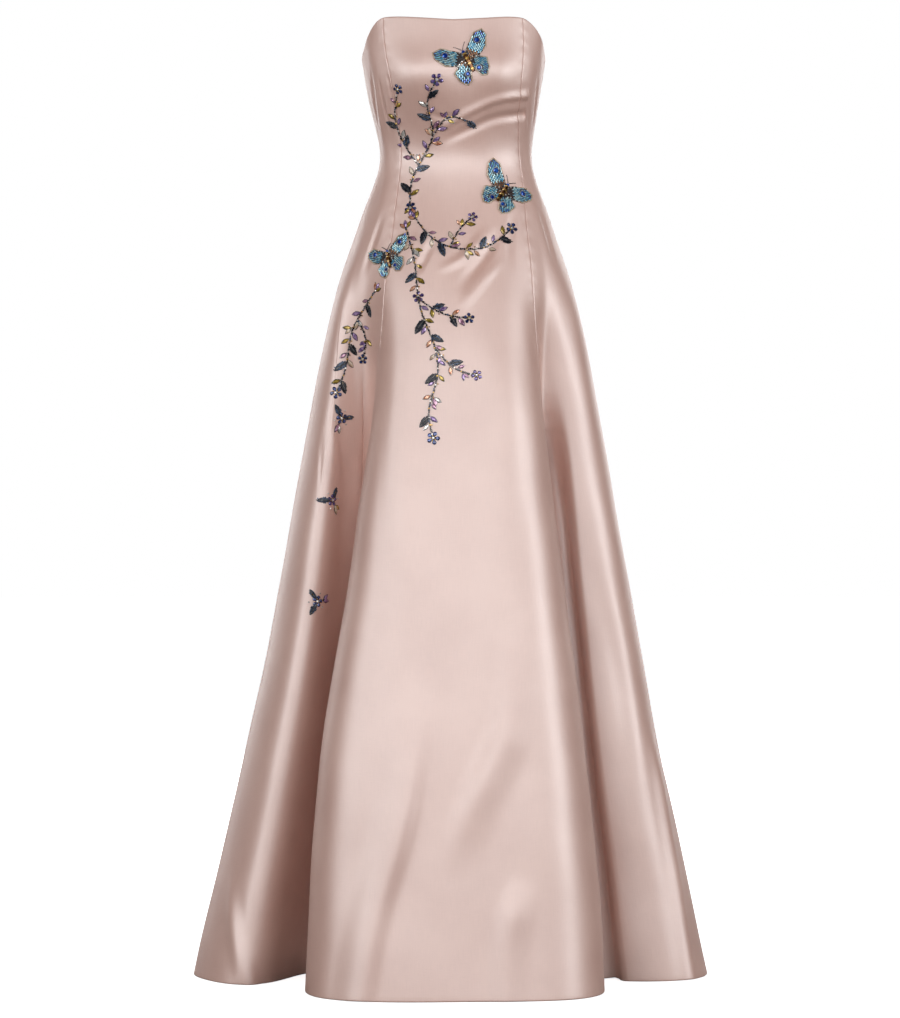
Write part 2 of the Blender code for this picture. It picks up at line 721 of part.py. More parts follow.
def spray(name, main_points, twigs, cloth, parts, helpers):
    """A flowering spray: its main stem joined to its twigs, leaves and flowers."""
    stems = [main_points]
    for share, points in twigs:
        (fork,) = along_stem(main_points, [share])
        stems.append([tuple(fork), *points])
    main_stem = stem(name, main_points, cloth, parts)
    others = [
        stem(f"{name}_twig_{n}", points, cloth, helpers) for n, points in enumerate(stems[1:], 1)
    ]
    pieces = [("leaf", LEAF_THICKNESS, leaf_outline, LEAVES)]
    pieces += [("flower", FLOWER_THICKNESS, flower_outline, FLOWERS)]
    for kind, thickness, outline_of, rows in pieces:
        for number, (owner, stem_number, share, turn, size) in enumerate(rows):
            if owner == name:
                points = stems[stem_number]
                (place,) = along_stem(points, [share])
                outline = outline_of(size)
                seat = cloth.seat(*place, heading_on(points, share) + turn, outline)
                label = f"{kind}_{number}"
                others.append(
                    slab(label, outline, thickness, TOP_INSET, seat, DARK_BEADS, helpers)
                )
    return joined(main_stem, others)


def blossom(name, x, height, turn, diameter, cloth, parts, helpers):
    """One loose flower with its leaves."""
    outline = flower_outline(diameter)
    seat = cloth.seat(x, height, turn, outline)
    flower = slab(name, outline, FLOWER_THICKNESS, TOP_INSET, seat, DARK_BEADS, parts)
    leaves = []
    for number, (leaf_turn, length) in enumerate(BLOSSOM_LEAVES):
        outline = leaf_outline(length)
        seat = cloth.seat(x, height, turn + leaf_turn, outline)
        label = f"{name}_leaf_{number}"
        leaves.append(slab(label, outline, LEAF_THICKNESS, TOP_INSET, seat, DARK_BEADS, helpers))
    return joined(flower, leaves)


def butterfly(name, x, height, turn, size, cloth, parts, helpers):
    """A beaded butterfly with open wings."""
    girth = BUTTERFLY_GIRTH * size
    outline = mirrored_outline(BODY_HALF, girth, BUTTERFLY_LENGTH * size / 2)
    seat = cloth.seat(x, height, turn, outline)
    body = slab(name, outline, 2 * girth, TOP_INSET, seat, BLUE_BEADS, parts)
    wings = []
    for number, points in enumerate(WING_OUTLINES):
        for side in (1, -1):
            outline = [(side * a * size, b * size) for a, b in points][::side]
            seat = cloth.seat(x, height, turn, outline)
            label = f"{name}_wing_{number}_{side}"
            wings.append(
                slab(label, outline, WING_THICKNESS, WING_INSET, seat, BLUE_BEADS, helpers)
            )
    return joined(body, wings)


def zip_head(cloth, parts, helpers):
    """The slider on the closed zip, and its pull tab hanging from the bridge."""
    wide, long = SLIDER_WIDTH / 2, SLIDER_LENGTH / 2
    corners = [(-wide, -long), (wide, -long), (wide, long), (-wide, long)]
    seat = cloth.seat(0.0, SLIDER_HEIGHT, 0.0, corners, facing=1, lift=SEAM_GAP)
    plate = slab("zip_slider", corners, SLIDER_THICKNESS, SLIDER_INSET, seat, ZINC, parts)
    wide, reach = BRIDGE_WIDTH / 2, BRIDGE_LENGTH / 2
    under = SLIDER_THICKNESS + BRIDGE_CLEAR
    over = under + BRIDGE_BAR
    sunk = SLIDER_THICKNESS / 2
    blocks = [
        # name, low corner, high corner
        ("bridge_top", (-wide, -reach, under), (wide, reach, over)),
        ("bridge_foot_low", (-wide, -reach, sunk), (wide, BRIDGE_BAR - reach, over)),
        ("bridge_foot_high", (-wide, reach - BRIDGE_BAR, sunk), (wide, reach, over)),
    ]
    joined(plate, [box(*block, seat, ZINC, helpers) for block in blocks])
    pin = seat @ Vector((0, -PULL_DROP, SLIDER_THICKNESS + BRIDGE_CLEAR / 2))
    frame = Matrix.Translation(pin)
    wide, slot, thick = PULL_WIDTH / 2, PULL_SLOT / 2, PULL_THICKNESS / 2
    round_pin = thick * PIN_SHARE
    arm_foot = -PULL_SLOT_LENGTH - thick
    tab = box(
        "zip_pull",
        (-wide, -thick, -PULL_LENGTH),
        (wide, thick, -PULL_SLOT_LENGTH),
        frame,
        ZINC,
        parts,
    )
    arms = [
        # name, low corner, high corner
        ("pull_arm_left", (slot, -thick, arm_foot), (wide, thick, thick)),
        ("pull_arm_right", (-wide, -thick, arm_foot), (-slot, thick, thick)),
        ("pull_bar", (thick - wide, -round_pin, -round_pin), (wide - thick, round_pin, round_pin)),
    ]
    joined(tab, [box(*arm, frame, ZINC, helpers) for arm in arms])


def main():
    for obj in list(bpy.data.objects):
        bpy.data.objects.remove(obj, do_unlink=True)
    parts = bpy.data.collections.new("corset_gown")
    helpers = bpy.data.collections.new("joined_helpers")
    for collection in (parts, helpers):
        bpy.context.scene.collection.children.link(collection)
    cloth = Cloth([panel(name, first, last, strips, parts) for name, first, last, strips in PANELS])
    zip_tape(parts)
    zip_head(cloth, parts, helpers)
    for row in STEMS:
        spray(*row, cloth, parts, helpers)
    for row in BLOSSOMS:
        blossom(*row, cloth, parts, helpers)
    for row in BUTTERFLIES:
        butterfly(*row, cloth, parts, helpers)


main()
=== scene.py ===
"""Finish of the strapless corset gown: satin panels, beaded sprays and butterflies, zip and studio.

Metres, +Z up. The front faces -Y and the wearer's left is +X. The origin is the middle of the
waist. A place on the cloth is a thread and a height: a thread is a lengthwise line of the cloth,
numbered by its angle at the hip (0 front, 90 wearer's left, 180 centre back), and a height is
above the floor.
"""

import json
import math

import bmesh
import bpy
import numpy as np
from mathutils import Matrix, Vector
from mathutils.bvhtree import BVHTree

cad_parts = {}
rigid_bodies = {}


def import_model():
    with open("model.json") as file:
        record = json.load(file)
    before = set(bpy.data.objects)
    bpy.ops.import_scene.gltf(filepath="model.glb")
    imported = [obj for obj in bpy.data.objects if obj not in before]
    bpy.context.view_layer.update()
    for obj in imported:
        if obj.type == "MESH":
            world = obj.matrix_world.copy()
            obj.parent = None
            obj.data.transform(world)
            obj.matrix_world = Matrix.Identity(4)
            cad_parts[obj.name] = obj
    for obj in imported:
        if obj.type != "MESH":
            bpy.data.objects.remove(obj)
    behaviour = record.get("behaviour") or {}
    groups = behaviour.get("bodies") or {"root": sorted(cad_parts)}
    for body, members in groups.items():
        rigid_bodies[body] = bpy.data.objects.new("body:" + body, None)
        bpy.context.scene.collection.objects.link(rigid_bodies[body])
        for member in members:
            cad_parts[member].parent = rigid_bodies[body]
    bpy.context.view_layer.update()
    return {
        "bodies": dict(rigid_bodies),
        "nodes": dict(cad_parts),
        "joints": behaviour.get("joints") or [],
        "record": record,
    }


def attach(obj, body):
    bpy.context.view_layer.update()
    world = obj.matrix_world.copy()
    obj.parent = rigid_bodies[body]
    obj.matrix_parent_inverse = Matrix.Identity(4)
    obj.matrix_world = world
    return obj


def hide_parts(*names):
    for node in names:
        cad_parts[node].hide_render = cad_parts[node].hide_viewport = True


# Driving sizes of the cloth: the waist above the floor, the wall from satin to lining, the hair's
# breadth between two panels at a seam, and the room between the lining and the zip's tape
WAIST_HEIGHT = 1.22
WALL = 0.002
SEAM_GAP = 0.00006
UNDER_LINING = 0.0004

# One row for each level of the body and skirt. front and back are the section's reach along Y.
# squareness 2 is an ellipse, and more is boxier. fold is how far the hem's folds have opened,
# and the two lobes say how much wider than at the hem the front's rounded edges stand.
SECTIONS = [
    # height, centre, half_width, front, back, squareness, fold, right_lobe, left_lobe
    (1.450, -0.0035, 0.1420, -0.1090, 0.0900, 2.30, 0.00, 1.00, 1.00),
    (1.390, -0.0035, 0.1388, -0.1210, 0.0890, 2.35, 0.00, 1.00, 1.00),
    (1.350, -0.0033, 0.1335, -0.1270, 0.0870, 2.35, 0.00, 1.00, 1.00),
    (1.310, -0.0028, 0.1266, -0.1180, 0.0840, 2.25, 0.00, 1.00, 1.00),
    (1.265, -0.0010, 0.1175, -0.0980, 0.0810, 2.15, 0.00, 1.00, 1.00),
    (1.225, 0.0000, 0.1142, -0.0870, 0.0800, 2.10, 0.00, 1.00, 1.00),
    (1.190, 0.0000, 0.1225, -0.0905, 0.0850, 2.10, 0.00, 1.00, 1.00),
    (1.150, 0.0000, 0.1375, -0.1020, 0.0980, 2.10, 0.00, 1.00, 1.00),
    (1.107, 0.0000, 0.1517, -0.1170, 0.1150, 2.10, 0.02, 1.00, 1.00),
    (1.062, 0.0000, 0.1675, -0.1320, 0.1320, 2.10, 0.07, 1.00, 1.00),
    (1.017, 0.0002, 0.1812, -0.1460, 0.1480, 2.10, 0.16, 1.00, 1.00),
    (0.972, 0.0005, 0.1922, -0.1580, 0.1620, 2.08, 0.29, 1.00, 1.01),
    (0.882, 0.0010, 0.2103, -0.1780, 0.1840, 2.05, 0.51, 1.01, 1.03),
    (0.790, 0.0016, 0.2272, -0.1950, 0.2030, 2.00, 0.66, 1.04, 1.04),
    (0.700, 0.0022, 0.2432, -0.2100, 0.2200, 2.00, 0.77, 1.07, 1.05),
    (0.520, 0.0028, 0.2756, -0.2380, 0.2520, 2.00, 0.89, 1.11, 1.07),
    (0.340, 0.0014, 0.3115, -0.2630, 0.2820, 2.00, 0.95, 1.13, 1.08),
    (0.160, 0.0008, 0.3520, -0.2850, 0.3100, 2.00, 0.98, 1.06, 1.05),
    (0.000, 0.0005, 0.3872, -0.3030, 0.3300, 2.00, 1.00, 1.00, 1.00),
]
# The lobes act in full up to this thread on both sides, and fade out over the threads beyond it.
LOBE_THREAD = 38.0
LOBE_FADE = 24.0

# Where each seam's thread runs, as an angle round the section, at each height. turn is how
# far the front of the bodice is turned on its wearer.
SEAM_ANGLES = [
    # height, front_princess, side, back_princess, turn
    (1.450, 43.8, 80.0, 138.0, -3.0),
    (1.380, 44.8, 80.5, 139.0, -1.8),
    (1.317, 45.0, 81.0, 140.0, 0.0),
    (1.265, 47.5, 82.0, 141.0, 2.2),
    (1.215, 49.6, 83.0, 142.0, 4.2),
    (1.160, 44.5, 84.0, 142.0, 2.6),
    (1.093, 40.4, 85.0, 142.0, 1.0),
    (1.011, 37.8, 85.0, 142.0, 0.0),
    (0.930, 37.0, 85.0, 142.0, 0.0),
]
FRONT_PRINCESS = 38.0
SIDE = 85.0
BACK_PRINCESS = 142.0

# The top edge: a shallow dip between the cups, rounded corners and a straight back.
NECKLINE = [
    # thread, height
    (0.0, 1.4250),
    (18.0, 1.4280),
    (32.0, 1.4305),
    (40.0, 1.4290),
    (52.0, 1.4180),
    (64.0, 1.4020),
    (78.0, 1.3850),
    (95.0, 1.3740),
    (120.0, 1.3660),
    (150.0, 1.3610),
    (180.0, 1.3600),
]

# The folds at the floor, one row for each turn of the cloth, round from the wearer's right.
HEM_FOLDS = [
    # thread, x, y
    (-171.0, -0.042, 0.318),
    (-161.0, -0.095, 0.333),
    (-151.0, -0.155, 0.322),
    (-142.0, -0.203, 0.285),
    (-134.0, -0.216, 0.240),
    (-127.0, -0.204, 0.202),
    (-120.0, -0.216, 0.178),
    (-113.0, -0.256, 0.192),
    (-106.0, -0.308, 0.198),
    (-99.0, -0.356, 0.172),
    (-92.0, -0.386, 0.110),
    (-85.0, -0.391, 0.040),
    (-79.0, -0.366, -0.030),
    (-73.0, -0.322, -0.078),
    (-68.0, -0.278, -0.054),
    (-64.0, -0.250, 0.002),
    (-60.0, -0.230, 0.046),
    (-56.5, -0.210, 0.072),
    (-53.0, -0.188, 0.078),
    (-50.0, -0.174, 0.052),
    (-46.0, -0.176, 0.002),
    (-42.0, -0.192, -0.050),
    (-38.0, -0.216, -0.102),
    (-33.5, -0.229, -0.160),
    (-29.0, -0.222, -0.214),
    (-23.0, -0.194, -0.262),
    (-16.0, -0.140, -0.293),
    (-8.0, -0.075, -0.304),
    (0.0, 0.000, -0.303),
    (8.0, 0.077, -0.302),
    (16.0, 0.143, -0.289),
    (23.0, 0.184, -0.256),
    (29.0, 0.206, -0.205),
    (33.5, 0.209, -0.152),
    (38.0, 0.197, -0.106),
    (42.0, 0.177, -0.076),
    (45.5, 0.161, -0.050),
    (48.5, 0.168, -0.028),
    (52.0, 0.196, -0.036),
    (57.0, 0.240, -0.061),
    (63.0, 0.291, -0.070),
    (69.0, 0.339, -0.055),
    (76.0, 0.373, -0.012),
    (84.0, 0.385, 0.048),
    (92.0, 0.377, 0.112),
    (99.0, 0.349, 0.168),
    (106.0, 0.304, 0.196),
    (113.0, 0.254, 0.194),
    (120.0, 0.214, 0.180),
    (127.0, 0.205, 0.200),
    (134.0, 0.214, 0.242),
    (142.0, 0.204, 0.284),
    (151.0, 0.152, 0.324),
    (161.0, 0.092, 0.334),
    (171.0, 0.040, 0.318),
    (180.0, 0.000, 0.306),
]

# Soft mounds that the cups press into the front, placed by the angle round the section.
CUP_ANGLE = 27.0
CUP_SPREAD = 17.0
CUP_HEIGHT = 1.342
CUP_RISE = 0.034
CUP_DEPTH = 0.007

# The creases of the worn cloth. Each runs along a path, is as wide to each side as it says, and
# stands out of the cloth by rise, or sinks in where that is below zero. An open end runs off
# the hem or into a seam at full strength, and the others fade out.
CREASES = [
    # path as (thread, height), width to its right, width to its left, rise, open start, open end
    # drawn from under the right cup to the left princess seam
    ([(-18, 1.254), (-7, 1.270), (3, 1.284), (14, 1.297), (24, 1.306), (38, 1.312)],
     0.006, 0.013, 0.0034, 0, 1),
    ([(-16, 1.241), (-4, 1.255), (8, 1.268), (21, 1.280), (38, 1.287)],
     0.011, 0.010, -0.0032, 0, 1),
    ([(-24, 1.292), (-13, 1.283), (-6, 1.281), (6, 1.290)], 0.008, 0.007, -0.0015, 0, 0),
    # puckers of the bodice's sides
    ([(-52, 1.345), (-54, 1.300), (-52, 1.262)], 0.0042, 0.0050, -0.0018, 0, 0),
    ([(-48, 1.322), (-49, 1.290), (-47, 1.268)], 0.0034, 0.0040, 0.0012, 0, 0),
    ([(-41.5, 1.350), (-41, 1.316), (-43, 1.284)], 0.0034, 0.0042, -0.0017, 0, 0),
    ([(-62, 1.360), (-69, 1.310), (-75, 1.262)], 0.006, 0.007, -0.0016, 0, 0),
    ([(-57, 1.350), (-63, 1.300), (-68, 1.255)], 0.005, 0.006, 0.0010, 0, 0),
    ([(44, 1.335), (52, 1.300), (58, 1.262)], 0.005, 0.007, -0.0010, 0, 0),
    ([(60, 1.350), (68, 1.312), (71, 1.268)], 0.006, 0.006, -0.0014, 0, 0),
    ([(98, 1.330), (112, 1.300), (128, 1.282)], 0.007, 0.008, -0.0013, 0, 0),
    ([(-100, 1.322), (-114, 1.296), (-126, 1.290)], 0.006, 0.008, -0.0012, 0, 0),
    # the pull of the waist over the hips, in front
    ([(19, 1.122), (15, 1.088), (6, 1.054), (-2, 1.014)], 0.014, 0.012, -0.0042, 0, 0),
    ([(14, 1.124), (7, 1.092), (-1, 1.068), (-13, 1.050)], 0.012, 0.011, 0.0030, 0, 0),
    ([(21, 1.076), (8, 1.030), (-1, 0.988)], 0.015, 0.013, 0.0030, 0, 0),
    ([(-14, 1.104), (-17.5, 1.074), (-21, 1.046)], 0.010, 0.009, -0.0034, 0, 0),
    ([(-24, 1.114), (-24, 1.068)], 0.009, 0.009, 0.0013, 0, 0),
    ([(30, 1.150), (26, 1.105), (25, 1.050)], 0.010, 0.012, -0.0015, 0, 0),
    ([(-47, 1.150), (-53, 1.100), (-56, 1.040)], 0.009, 0.012, -0.0018, 0, 0),
    ([(55, 1.160), (60, 1.110), (58, 1.050)], 0.010, 0.012, -0.0018, 0, 0),
    # broad flutes down the front panel
    ([(-15, 1.000), (-10, 0.860), (-8.5, 0.715), (-10, 0.540)], 0.038, 0.034, -0.0026, 0, 0),
    ([(17, 1.040), (12.6, 0.861), (7.7, 0.686), (3.8, 0.480)], 0.042, 0.045, 0.0026, 0, 0),
    ([(-27, 0.990), (-22.3, 0.862), (-18.3, 0.716), (-17, 0.540)], 0.028, 0.030, 0.0018, 0, 0),
    # breaks above the hem of the front panel
    ([(-8.0, 0.450), (-10.3, 0.262), (-14.3, 0.140), (-17.0, 0.0)], 0.055, 0.024, 0.0105, 0, 1),
    ([(11, 0.580), (7.2, 0.403), (5.1, 0.350), (0.8, 0.272), (-3, 0.170)],
     0.026, 0.050, 0.0085, 0, 0),
    ([(9, 0.180), (6.2, 0.093), (5.5, 0.0)], 0.024, 0.040, 0.0075, 0, 1),
    # the deep tuck behind the front's left edge, and cloth that fills the right one from inside
    ([(51, 0.880), (53.0, 0.700), (54.5, 0.350), (55.0, 0.0)], 0.024, 0.030, -0.0300, 0, 1),
    ([(-56, 1.020), (-58, 0.850), (-58, 0.680), (-56, 0.500)], 0.040, 0.040, 0.0120, 0, 0),
    # the flares on both sides
    ([(-80, 0.170), (-76.0, 0.078), (-71.5, 0.0)], 0.024, 0.020, 0.0046, 0, 1),
    ([(-72, 0.870), (-65.3, 0.791), (-61, 0.700)], 0.020, 0.020, -0.0030, 0, 0),
    ([(75, 0.390), (74.0, 0.290), (72.6, 0.165), (70.6, 0.0)], 0.023, 0.024, 0.0046, 0, 1),
    ([(60, 0.700), (66, 0.450), (62, 0.240)], 0.026, 0.028, -0.0030, 0, 0),
    # the sides, seen from the left and the right
    ([(98, 0.960), (101, 0.640), (96, 0.300)], 0.030, 0.034, 0.0042, 0, 0),
    ([(-97, 0.900), (-102, 0.580), (-98, 0.260)], 0.032, 0.028, -0.0040, 0, 0),
    ([(108, 0.220), (103, 0.110), (104, 0.0)], 0.030, 0.028, 0.0050, 0, 1),
    ([(-110, 0.260), (-104, 0.120), (-107, 0.0)], 0.028, 0.032, 0.0046, 0, 1),
    # the back: drags from the zip and the hips, flutes, and breaks above the hem
    ([(176, 1.030), (168, 0.965), (163, 0.880)], 0.016, 0.014, -0.0024, 0, 0),
    ([(-177, 1.010), (-171, 0.950), (-160, 0.850)], 0.015, 0.018, -0.0022, 0, 0),
    ([(146, 1.244), (160, 1.236), (174, 1.240)], 0.010, 0.011, -0.0010, 1, 0),
    ([(-145, 1.226), (-159, 1.219), (-173, 1.226)], 0.011, 0.010, -0.0010, 1, 0),
    ([(150, 1.212), (163, 1.203), (176, 1.209)], 0.008, 0.009, 0.0010, 0, 0),
    ([(118, 1.120), (128, 1.064), (138, 0.990)], 0.015, 0.013, -0.0022, 0, 0),
    ([(-116, 1.130), (-129, 1.050), (-135, 0.970)], 0.013, 0.016, -0.0024, 0, 0),
    ([(152, 0.860), (157, 0.600), (152, 0.360)], 0.030, 0.034, 0.0042, 0, 0),
    ([(-148, 0.820), (-154, 0.560), (-160, 0.330)], 0.034, 0.030, 0.0040, 0, 0),
    ([(166, 0.260), (161, 0.130), (162, 0.0)], 0.034, 0.030, 0.0048, 0, 1),
    ([(-170, 0.330), (-163, 0.160), (-166, 0.0)], 0.032, 0.034, 0.0050, 0, 1),
]
# Places along each path, the share of its length over which an end fades, and how many threads
# beyond its path a crease can reach
CREASE_SAMPLES = 36
CREASE_FADE = 0.38
CREASE_THREADS = 13.0

# Low waves that handling leaves all over the cloth
RIPPLES = [
    # waves in a turn round the gown, half waves in a metre up it, phase, height
    (5.3, 6.1, 0.4, 0.00045),
    (9.7, -7.3, 1.9, 0.00035),
    (14.3, 11.9, 4.2, 0.00022),
]

# The panels, from seam to seam, with the columns of cloth across each.
PANELS = [
    # name, first thread, last thread, columns
    ("front_centre", -FRONT_PRINCESS, FRONT_PRINCESS, 150),
    ("front_side_left", FRONT_PRINCESS, SIDE, 64),
    ("front_side_right", -SIDE, -FRONT_PRINCESS, 72),
    ("back_side_left", SIDE, BACK_PRINCESS, 70),
    ("back_side_right", -BACK_PRINCESS, -SIDE, 70),
    ("back_centre_left", BACK_PRINCESS, 180.0, 44),
    ("back_centre_right", -180.0, -BACK_PRINCESS, 44),
]
# The rows of cloth are named by their heights at the front's top edge. They follow the neckline
# at the top, are level from LEVEL_ROW down, and lie closer above BODICE_FOOT.
TOP = 1.430
LEVEL_ROW = 1.225
BODICE_FOOT = 1.000
BODICE_STEP = 0.0035
SKIRT_STEP = 0.0085

# Columns crowd where the hem turns: TURN_STEP of turning counts as much as FLAT_STEP of hem.
HEM_SAMPLES = 400
FLAT_STEP = 0.060
TURN_STEP = math.radians(19.0)

# Small steps that show which way the cloth faces
THREAD_STEP = 0.05
HEIGHT_STEP = 0.0005

# How the cloth turns in at a seam and rolls over at the neckline and hem
SEAM_PROFILE = [
    # distance from the seam's edge, rise
    (0.0, -0.0009),
    (0.00035, -0.0003),
    (0.0009, 0.0),
    (0.0019, 0.00008),
    (0.0036, 0.00005),
    (0.0065, 0.0),
]
EDGE_PROFILE = [
    # distance from the edge, how far each side of the wall draws in to its middle
    (0.0, 0.00095),
    (0.0004, 0.00042),
    (0.0011, 0.00010),
    (0.0024, 0.0),
]

# Puckers along the seams, which drift so that no two are the same length
PUCKER_LENGTH = 0.021
PUCKER_REACH = 0.012
PUCKER_HEIGHT = 0.00028
PUCKER_DRIFT = 2.0
PUCKER_DRIFT_RATE = 31.0

# Inside: the depths of the satin facing and hem turning, and the boning channels beside the
# seams and down the middle of each panel
FACING_DEPTH = 0.045
HEM_DEPTH = 0.040
BONE_WIDTH = 0.0085
BONE_RISE = 0.0009
BONE_SOFT = 0.0016
BONE_FOOT = 1.150
BONE_FOOT_FADE = 0.010
BONE_TOP_ROOM = 0.014
BONE_TOP_FADE = 0.006

# The outside of each finished panel, by name
WORN = {}


def spline_through(knots, values, at, period=None):
    """A smooth cubic through the values, natural at its ends or closed when it has a period."""
    x = np.asarray(knots, float)
    y = np.asarray(values, float)
    at = np.asarray(at, float)
    if period:
        x = np.append(x, x[0] + period)
        y = np.append(y, y[:1], axis=0)
        at = x[0] + np.mod(at - x[0], period)
    step = np.diff(x)
    slope = np.diff(y) / step
    count = len(x)
    rows = np.zeros((count, count))
    right = np.zeros(count)
    for i in range(1, count - 1):
        rows[i, i - 1 : i + 2] = step[i - 1], 2 * (step[i - 1] + step[i]), step[i]
        right[i] = 6 * (slope[i] - slope[i - 1])
    if period:
        rows[0, [0, 1, count - 2]] = 2 * (step[0] + step[-1]), step[0], step[-1]
        right[0] = 6 * (slope[0] - slope[-1])
        rows[-1, [0, -1]] = 1, -1
    else:
        rows[0, 0] = rows[-1, -1] = 1
    bend = np.linalg.solve(rows, right)
    i = np.clip(np.searchsorted(x, at, side="right") - 1, 0, count - 2)
    h = step[i]
    low = (x[i + 1] - at) / h
    high = (at - x[i]) / h
    curve = (low**3 - low) * bend[i] + (high**3 - high) * bend[i + 1]
    return low * y[i] + high * y[i + 1] + curve * h * h / 6


def column(table, number):
    """One column of a table."""
    return [row[number] for row in table]


def eased(share):
    """0 to 1 with soft ends."""
    share = np.clip(share, 0, 1)
    return share * share * (3 - 2 * share)


def section_value(number, height):
    """One column of SECTIONS, read smoothly at the heights."""
    rows = SECTIONS[::-1]
    return spline_through(column(rows, 0), column(rows, number), height)


def angle_of(thread, height):
    """The angle round the section at which a thread runs, in radians."""
    rows = SEAM_ANGLES[::-1]
    heights = column(rows, 0)
    size = np.abs(thread)
    height = np.clip(height, heights[0], heights[-1])
    princess, side, back, turn = (
        spline_through(heights, column(rows, n), height) for n in range(1, 5)
    )
    front_part = size / FRONT_PRINCESS * princess
    side_part = princess + (size - FRONT_PRINCESS) / (SIDE - FRONT_PRINCESS) * (side - princess)
    back_part = side + (size - SIDE) / (BACK_PRINCESS - SIDE) * (back - side)
    last_part = back + (size - BACK_PRINCESS) / (180 - BACK_PRINCESS) * (180 - back)
    angle = np.select(
        [size <= FRONT_PRINCESS, size <= SIDE, size <= BACK_PRINCESS],
        [front_part, side_part, back_part],
        last_part,
    )
    towards_front = (1 + np.cos(np.radians(size))) / 2
    return np.radians(np.sign(thread) * angle + turn * towards_front)


def cloth_point(thread, height):
    """The outside of the smooth cloth at a thread and a height, as rows of x, y, z."""
    thread, height = np.broadcast_arrays(np.asarray(thread, float), np.asarray(height, float))
    centre, half_width, front, back, squareness, fold, right_lobe, left_lobe = (
        section_value(n, height) for n in range(1, 9)
    )
    fold = np.clip(fold, 0, 1)
    angle = angle_of(thread, height)
    across, along = np.sin(angle), -np.cos(angle)
    reach = (np.abs(across) ** squareness + np.abs(along) ** squareness) ** (-1 / squareness)
    hem_half, hem_front, hem_back = SECTIONS[-1][2:5]
    hem_x = spline_through(column(HEM_FOLDS, 0), column(HEM_FOLDS, 1), thread, period=360)
    hem_y = spline_through(column(HEM_FOLDS, 0), column(HEM_FOLDS, 2), thread, period=360)
    hem_middle, hem_depth = (hem_front + hem_back) / 2, (hem_back - hem_front) / 2
    x = (1 - fold) * across * reach + fold * hem_x / hem_half
    y = (1 - fold) * along * reach + fold * (hem_y - hem_middle) / hem_depth
    lobe = np.where(thread < 0, right_lobe, left_lobe) - 1
    x = x * (1 + lobe * eased(1 - (np.abs(thread) - LOBE_THREAD) / LOBE_FADE))
    point_x = centre + x * half_width
    point_y = (front + back) / 2 + y * (back - front) / 2
    degrees = np.degrees(angle)
    sideways = np.exp(-(((np.abs(degrees) - CUP_ANGLE) / CUP_SPREAD) ** 2))
    point_y = point_y - CUP_DEPTH * sideways * np.exp(-(((height - CUP_HEIGHT) / CUP_RISE) ** 2))
    return np.stack([point_x, point_y, height - WAIST_HEIGHT], axis=-1)


def outward(thread, height):
    """The unit direction straight out of the smooth cloth."""
    above, below = (cloth_point(thread, height + step) for step in (HEIGHT_STEP, -HEIGHT_STEP))
    after, before = (cloth_point(thread + step, height) for step in (THREAD_STEP, -THREAD_STEP))
    normal = np.cross(after - before, above - below)
    return normal / np.linalg.norm(normal, axis=-1, keepdims=True)


def neckline(thread):
    """Height of the top edge."""
    return spline_through(column(NECKLINE, 0), column(NECKLINE, 1), np.abs(thread))


def crease_rise(thread, points, normal):
    """How far the creases and ripples move each point of the cloth outwards."""
    total = np.zeros(thread.shape)
    for path, right_width, left_width, rise, open_start, open_end in CREASES:
        threads, heights = column(path, 0), column(path, 1)
        reach = max(right_width, left_width)
        share = np.linspace(0, 1, CREASE_SAMPLES)
        knots = np.linspace(0, 1, len(path))
        line_threads = spline_through(knots, threads, share)
        line = cloth_point(line_threads, spline_through(knots, heights, share))
        low, high = line.min(axis=0) - reach, line.max(axis=0) + reach
        near = np.all((points > low) & (points < high), axis=-1)
        near &= np.abs(thread - line_threads.mean()) < np.ptp(line_threads) / 2 + CREASE_THREADS
        if not near.any():
            continue
        away = points[near][:, None, :] - line[None]
        nearest = np.argmin((away**2).sum(axis=-1), axis=1)
        heading = np.gradient(line, axis=0)
        heading /= np.linalg.norm(heading, axis=1, keepdims=True)
        offset = away[np.arange(len(nearest)), nearest]
        along = heading[nearest]
        beyond = (offset * along).sum(axis=1)
        aside = np.cross(along, normal[near])
        sideways = (offset * aside).sum(axis=1)
        width = np.where(sideways > 0, right_width, left_width)
        profile = eased(1 - np.abs(sideways) / width)
        length = np.linalg.norm(np.diff(line, axis=0), axis=1).sum()
        travelled = share[nearest] + beyond / length
        strength = np.ones(len(nearest))
        if not open_start:
            strength *= eased(travelled / CREASE_FADE)
        if not open_end:
            strength *= eased((1 - travelled) / CREASE_FADE)
        total[near] += rise * profile * strength
    turn = np.radians(thread)
    for round_it, up_it, phase, height in RIPPLES:
        total += height * np.sin(round_it * turn + up_it * points[..., 2] * math.pi + phase)
    return total


def threads_between(first, last, columns):
    """Threads across a panel, closer where the hem turns."""
    fine = np.linspace(first, last, HEM_SAMPLES)
    hem = cloth_point(fine, 0.0)[:, :2]
    step = np.diff(hem, axis=0)
    heading = np.unwrap(np.arctan2(step[:, 1], step[:, 0]))
    turn = np.abs(np.diff(heading, append=heading[-1]))
    cost = np.linalg.norm(step, axis=1) / FLAT_STEP + turn / TURN_STEP
    total = np.append(0, np.cumsum(cost))
    return np.interp(np.linspace(0, total[-1], columns + 1), total, fine)


def cloth_rows():
    """Heights of the rows of cloth at the front's top edge, with close rows at both edges."""
    coarser = 1.0
    bodice = np.arange(TOP, BODICE_FOOT, -BODICE_STEP * coarser)
    skirt = np.linspace(BODICE_FOOT, 0, int(BODICE_FOOT / SKIRT_STEP / coarser))
    edge = np.array(column(EDGE_PROFILE, 0))
    return np.concatenate([TOP - edge, bodice[1:], skirt[:-1], edge[::-1]])


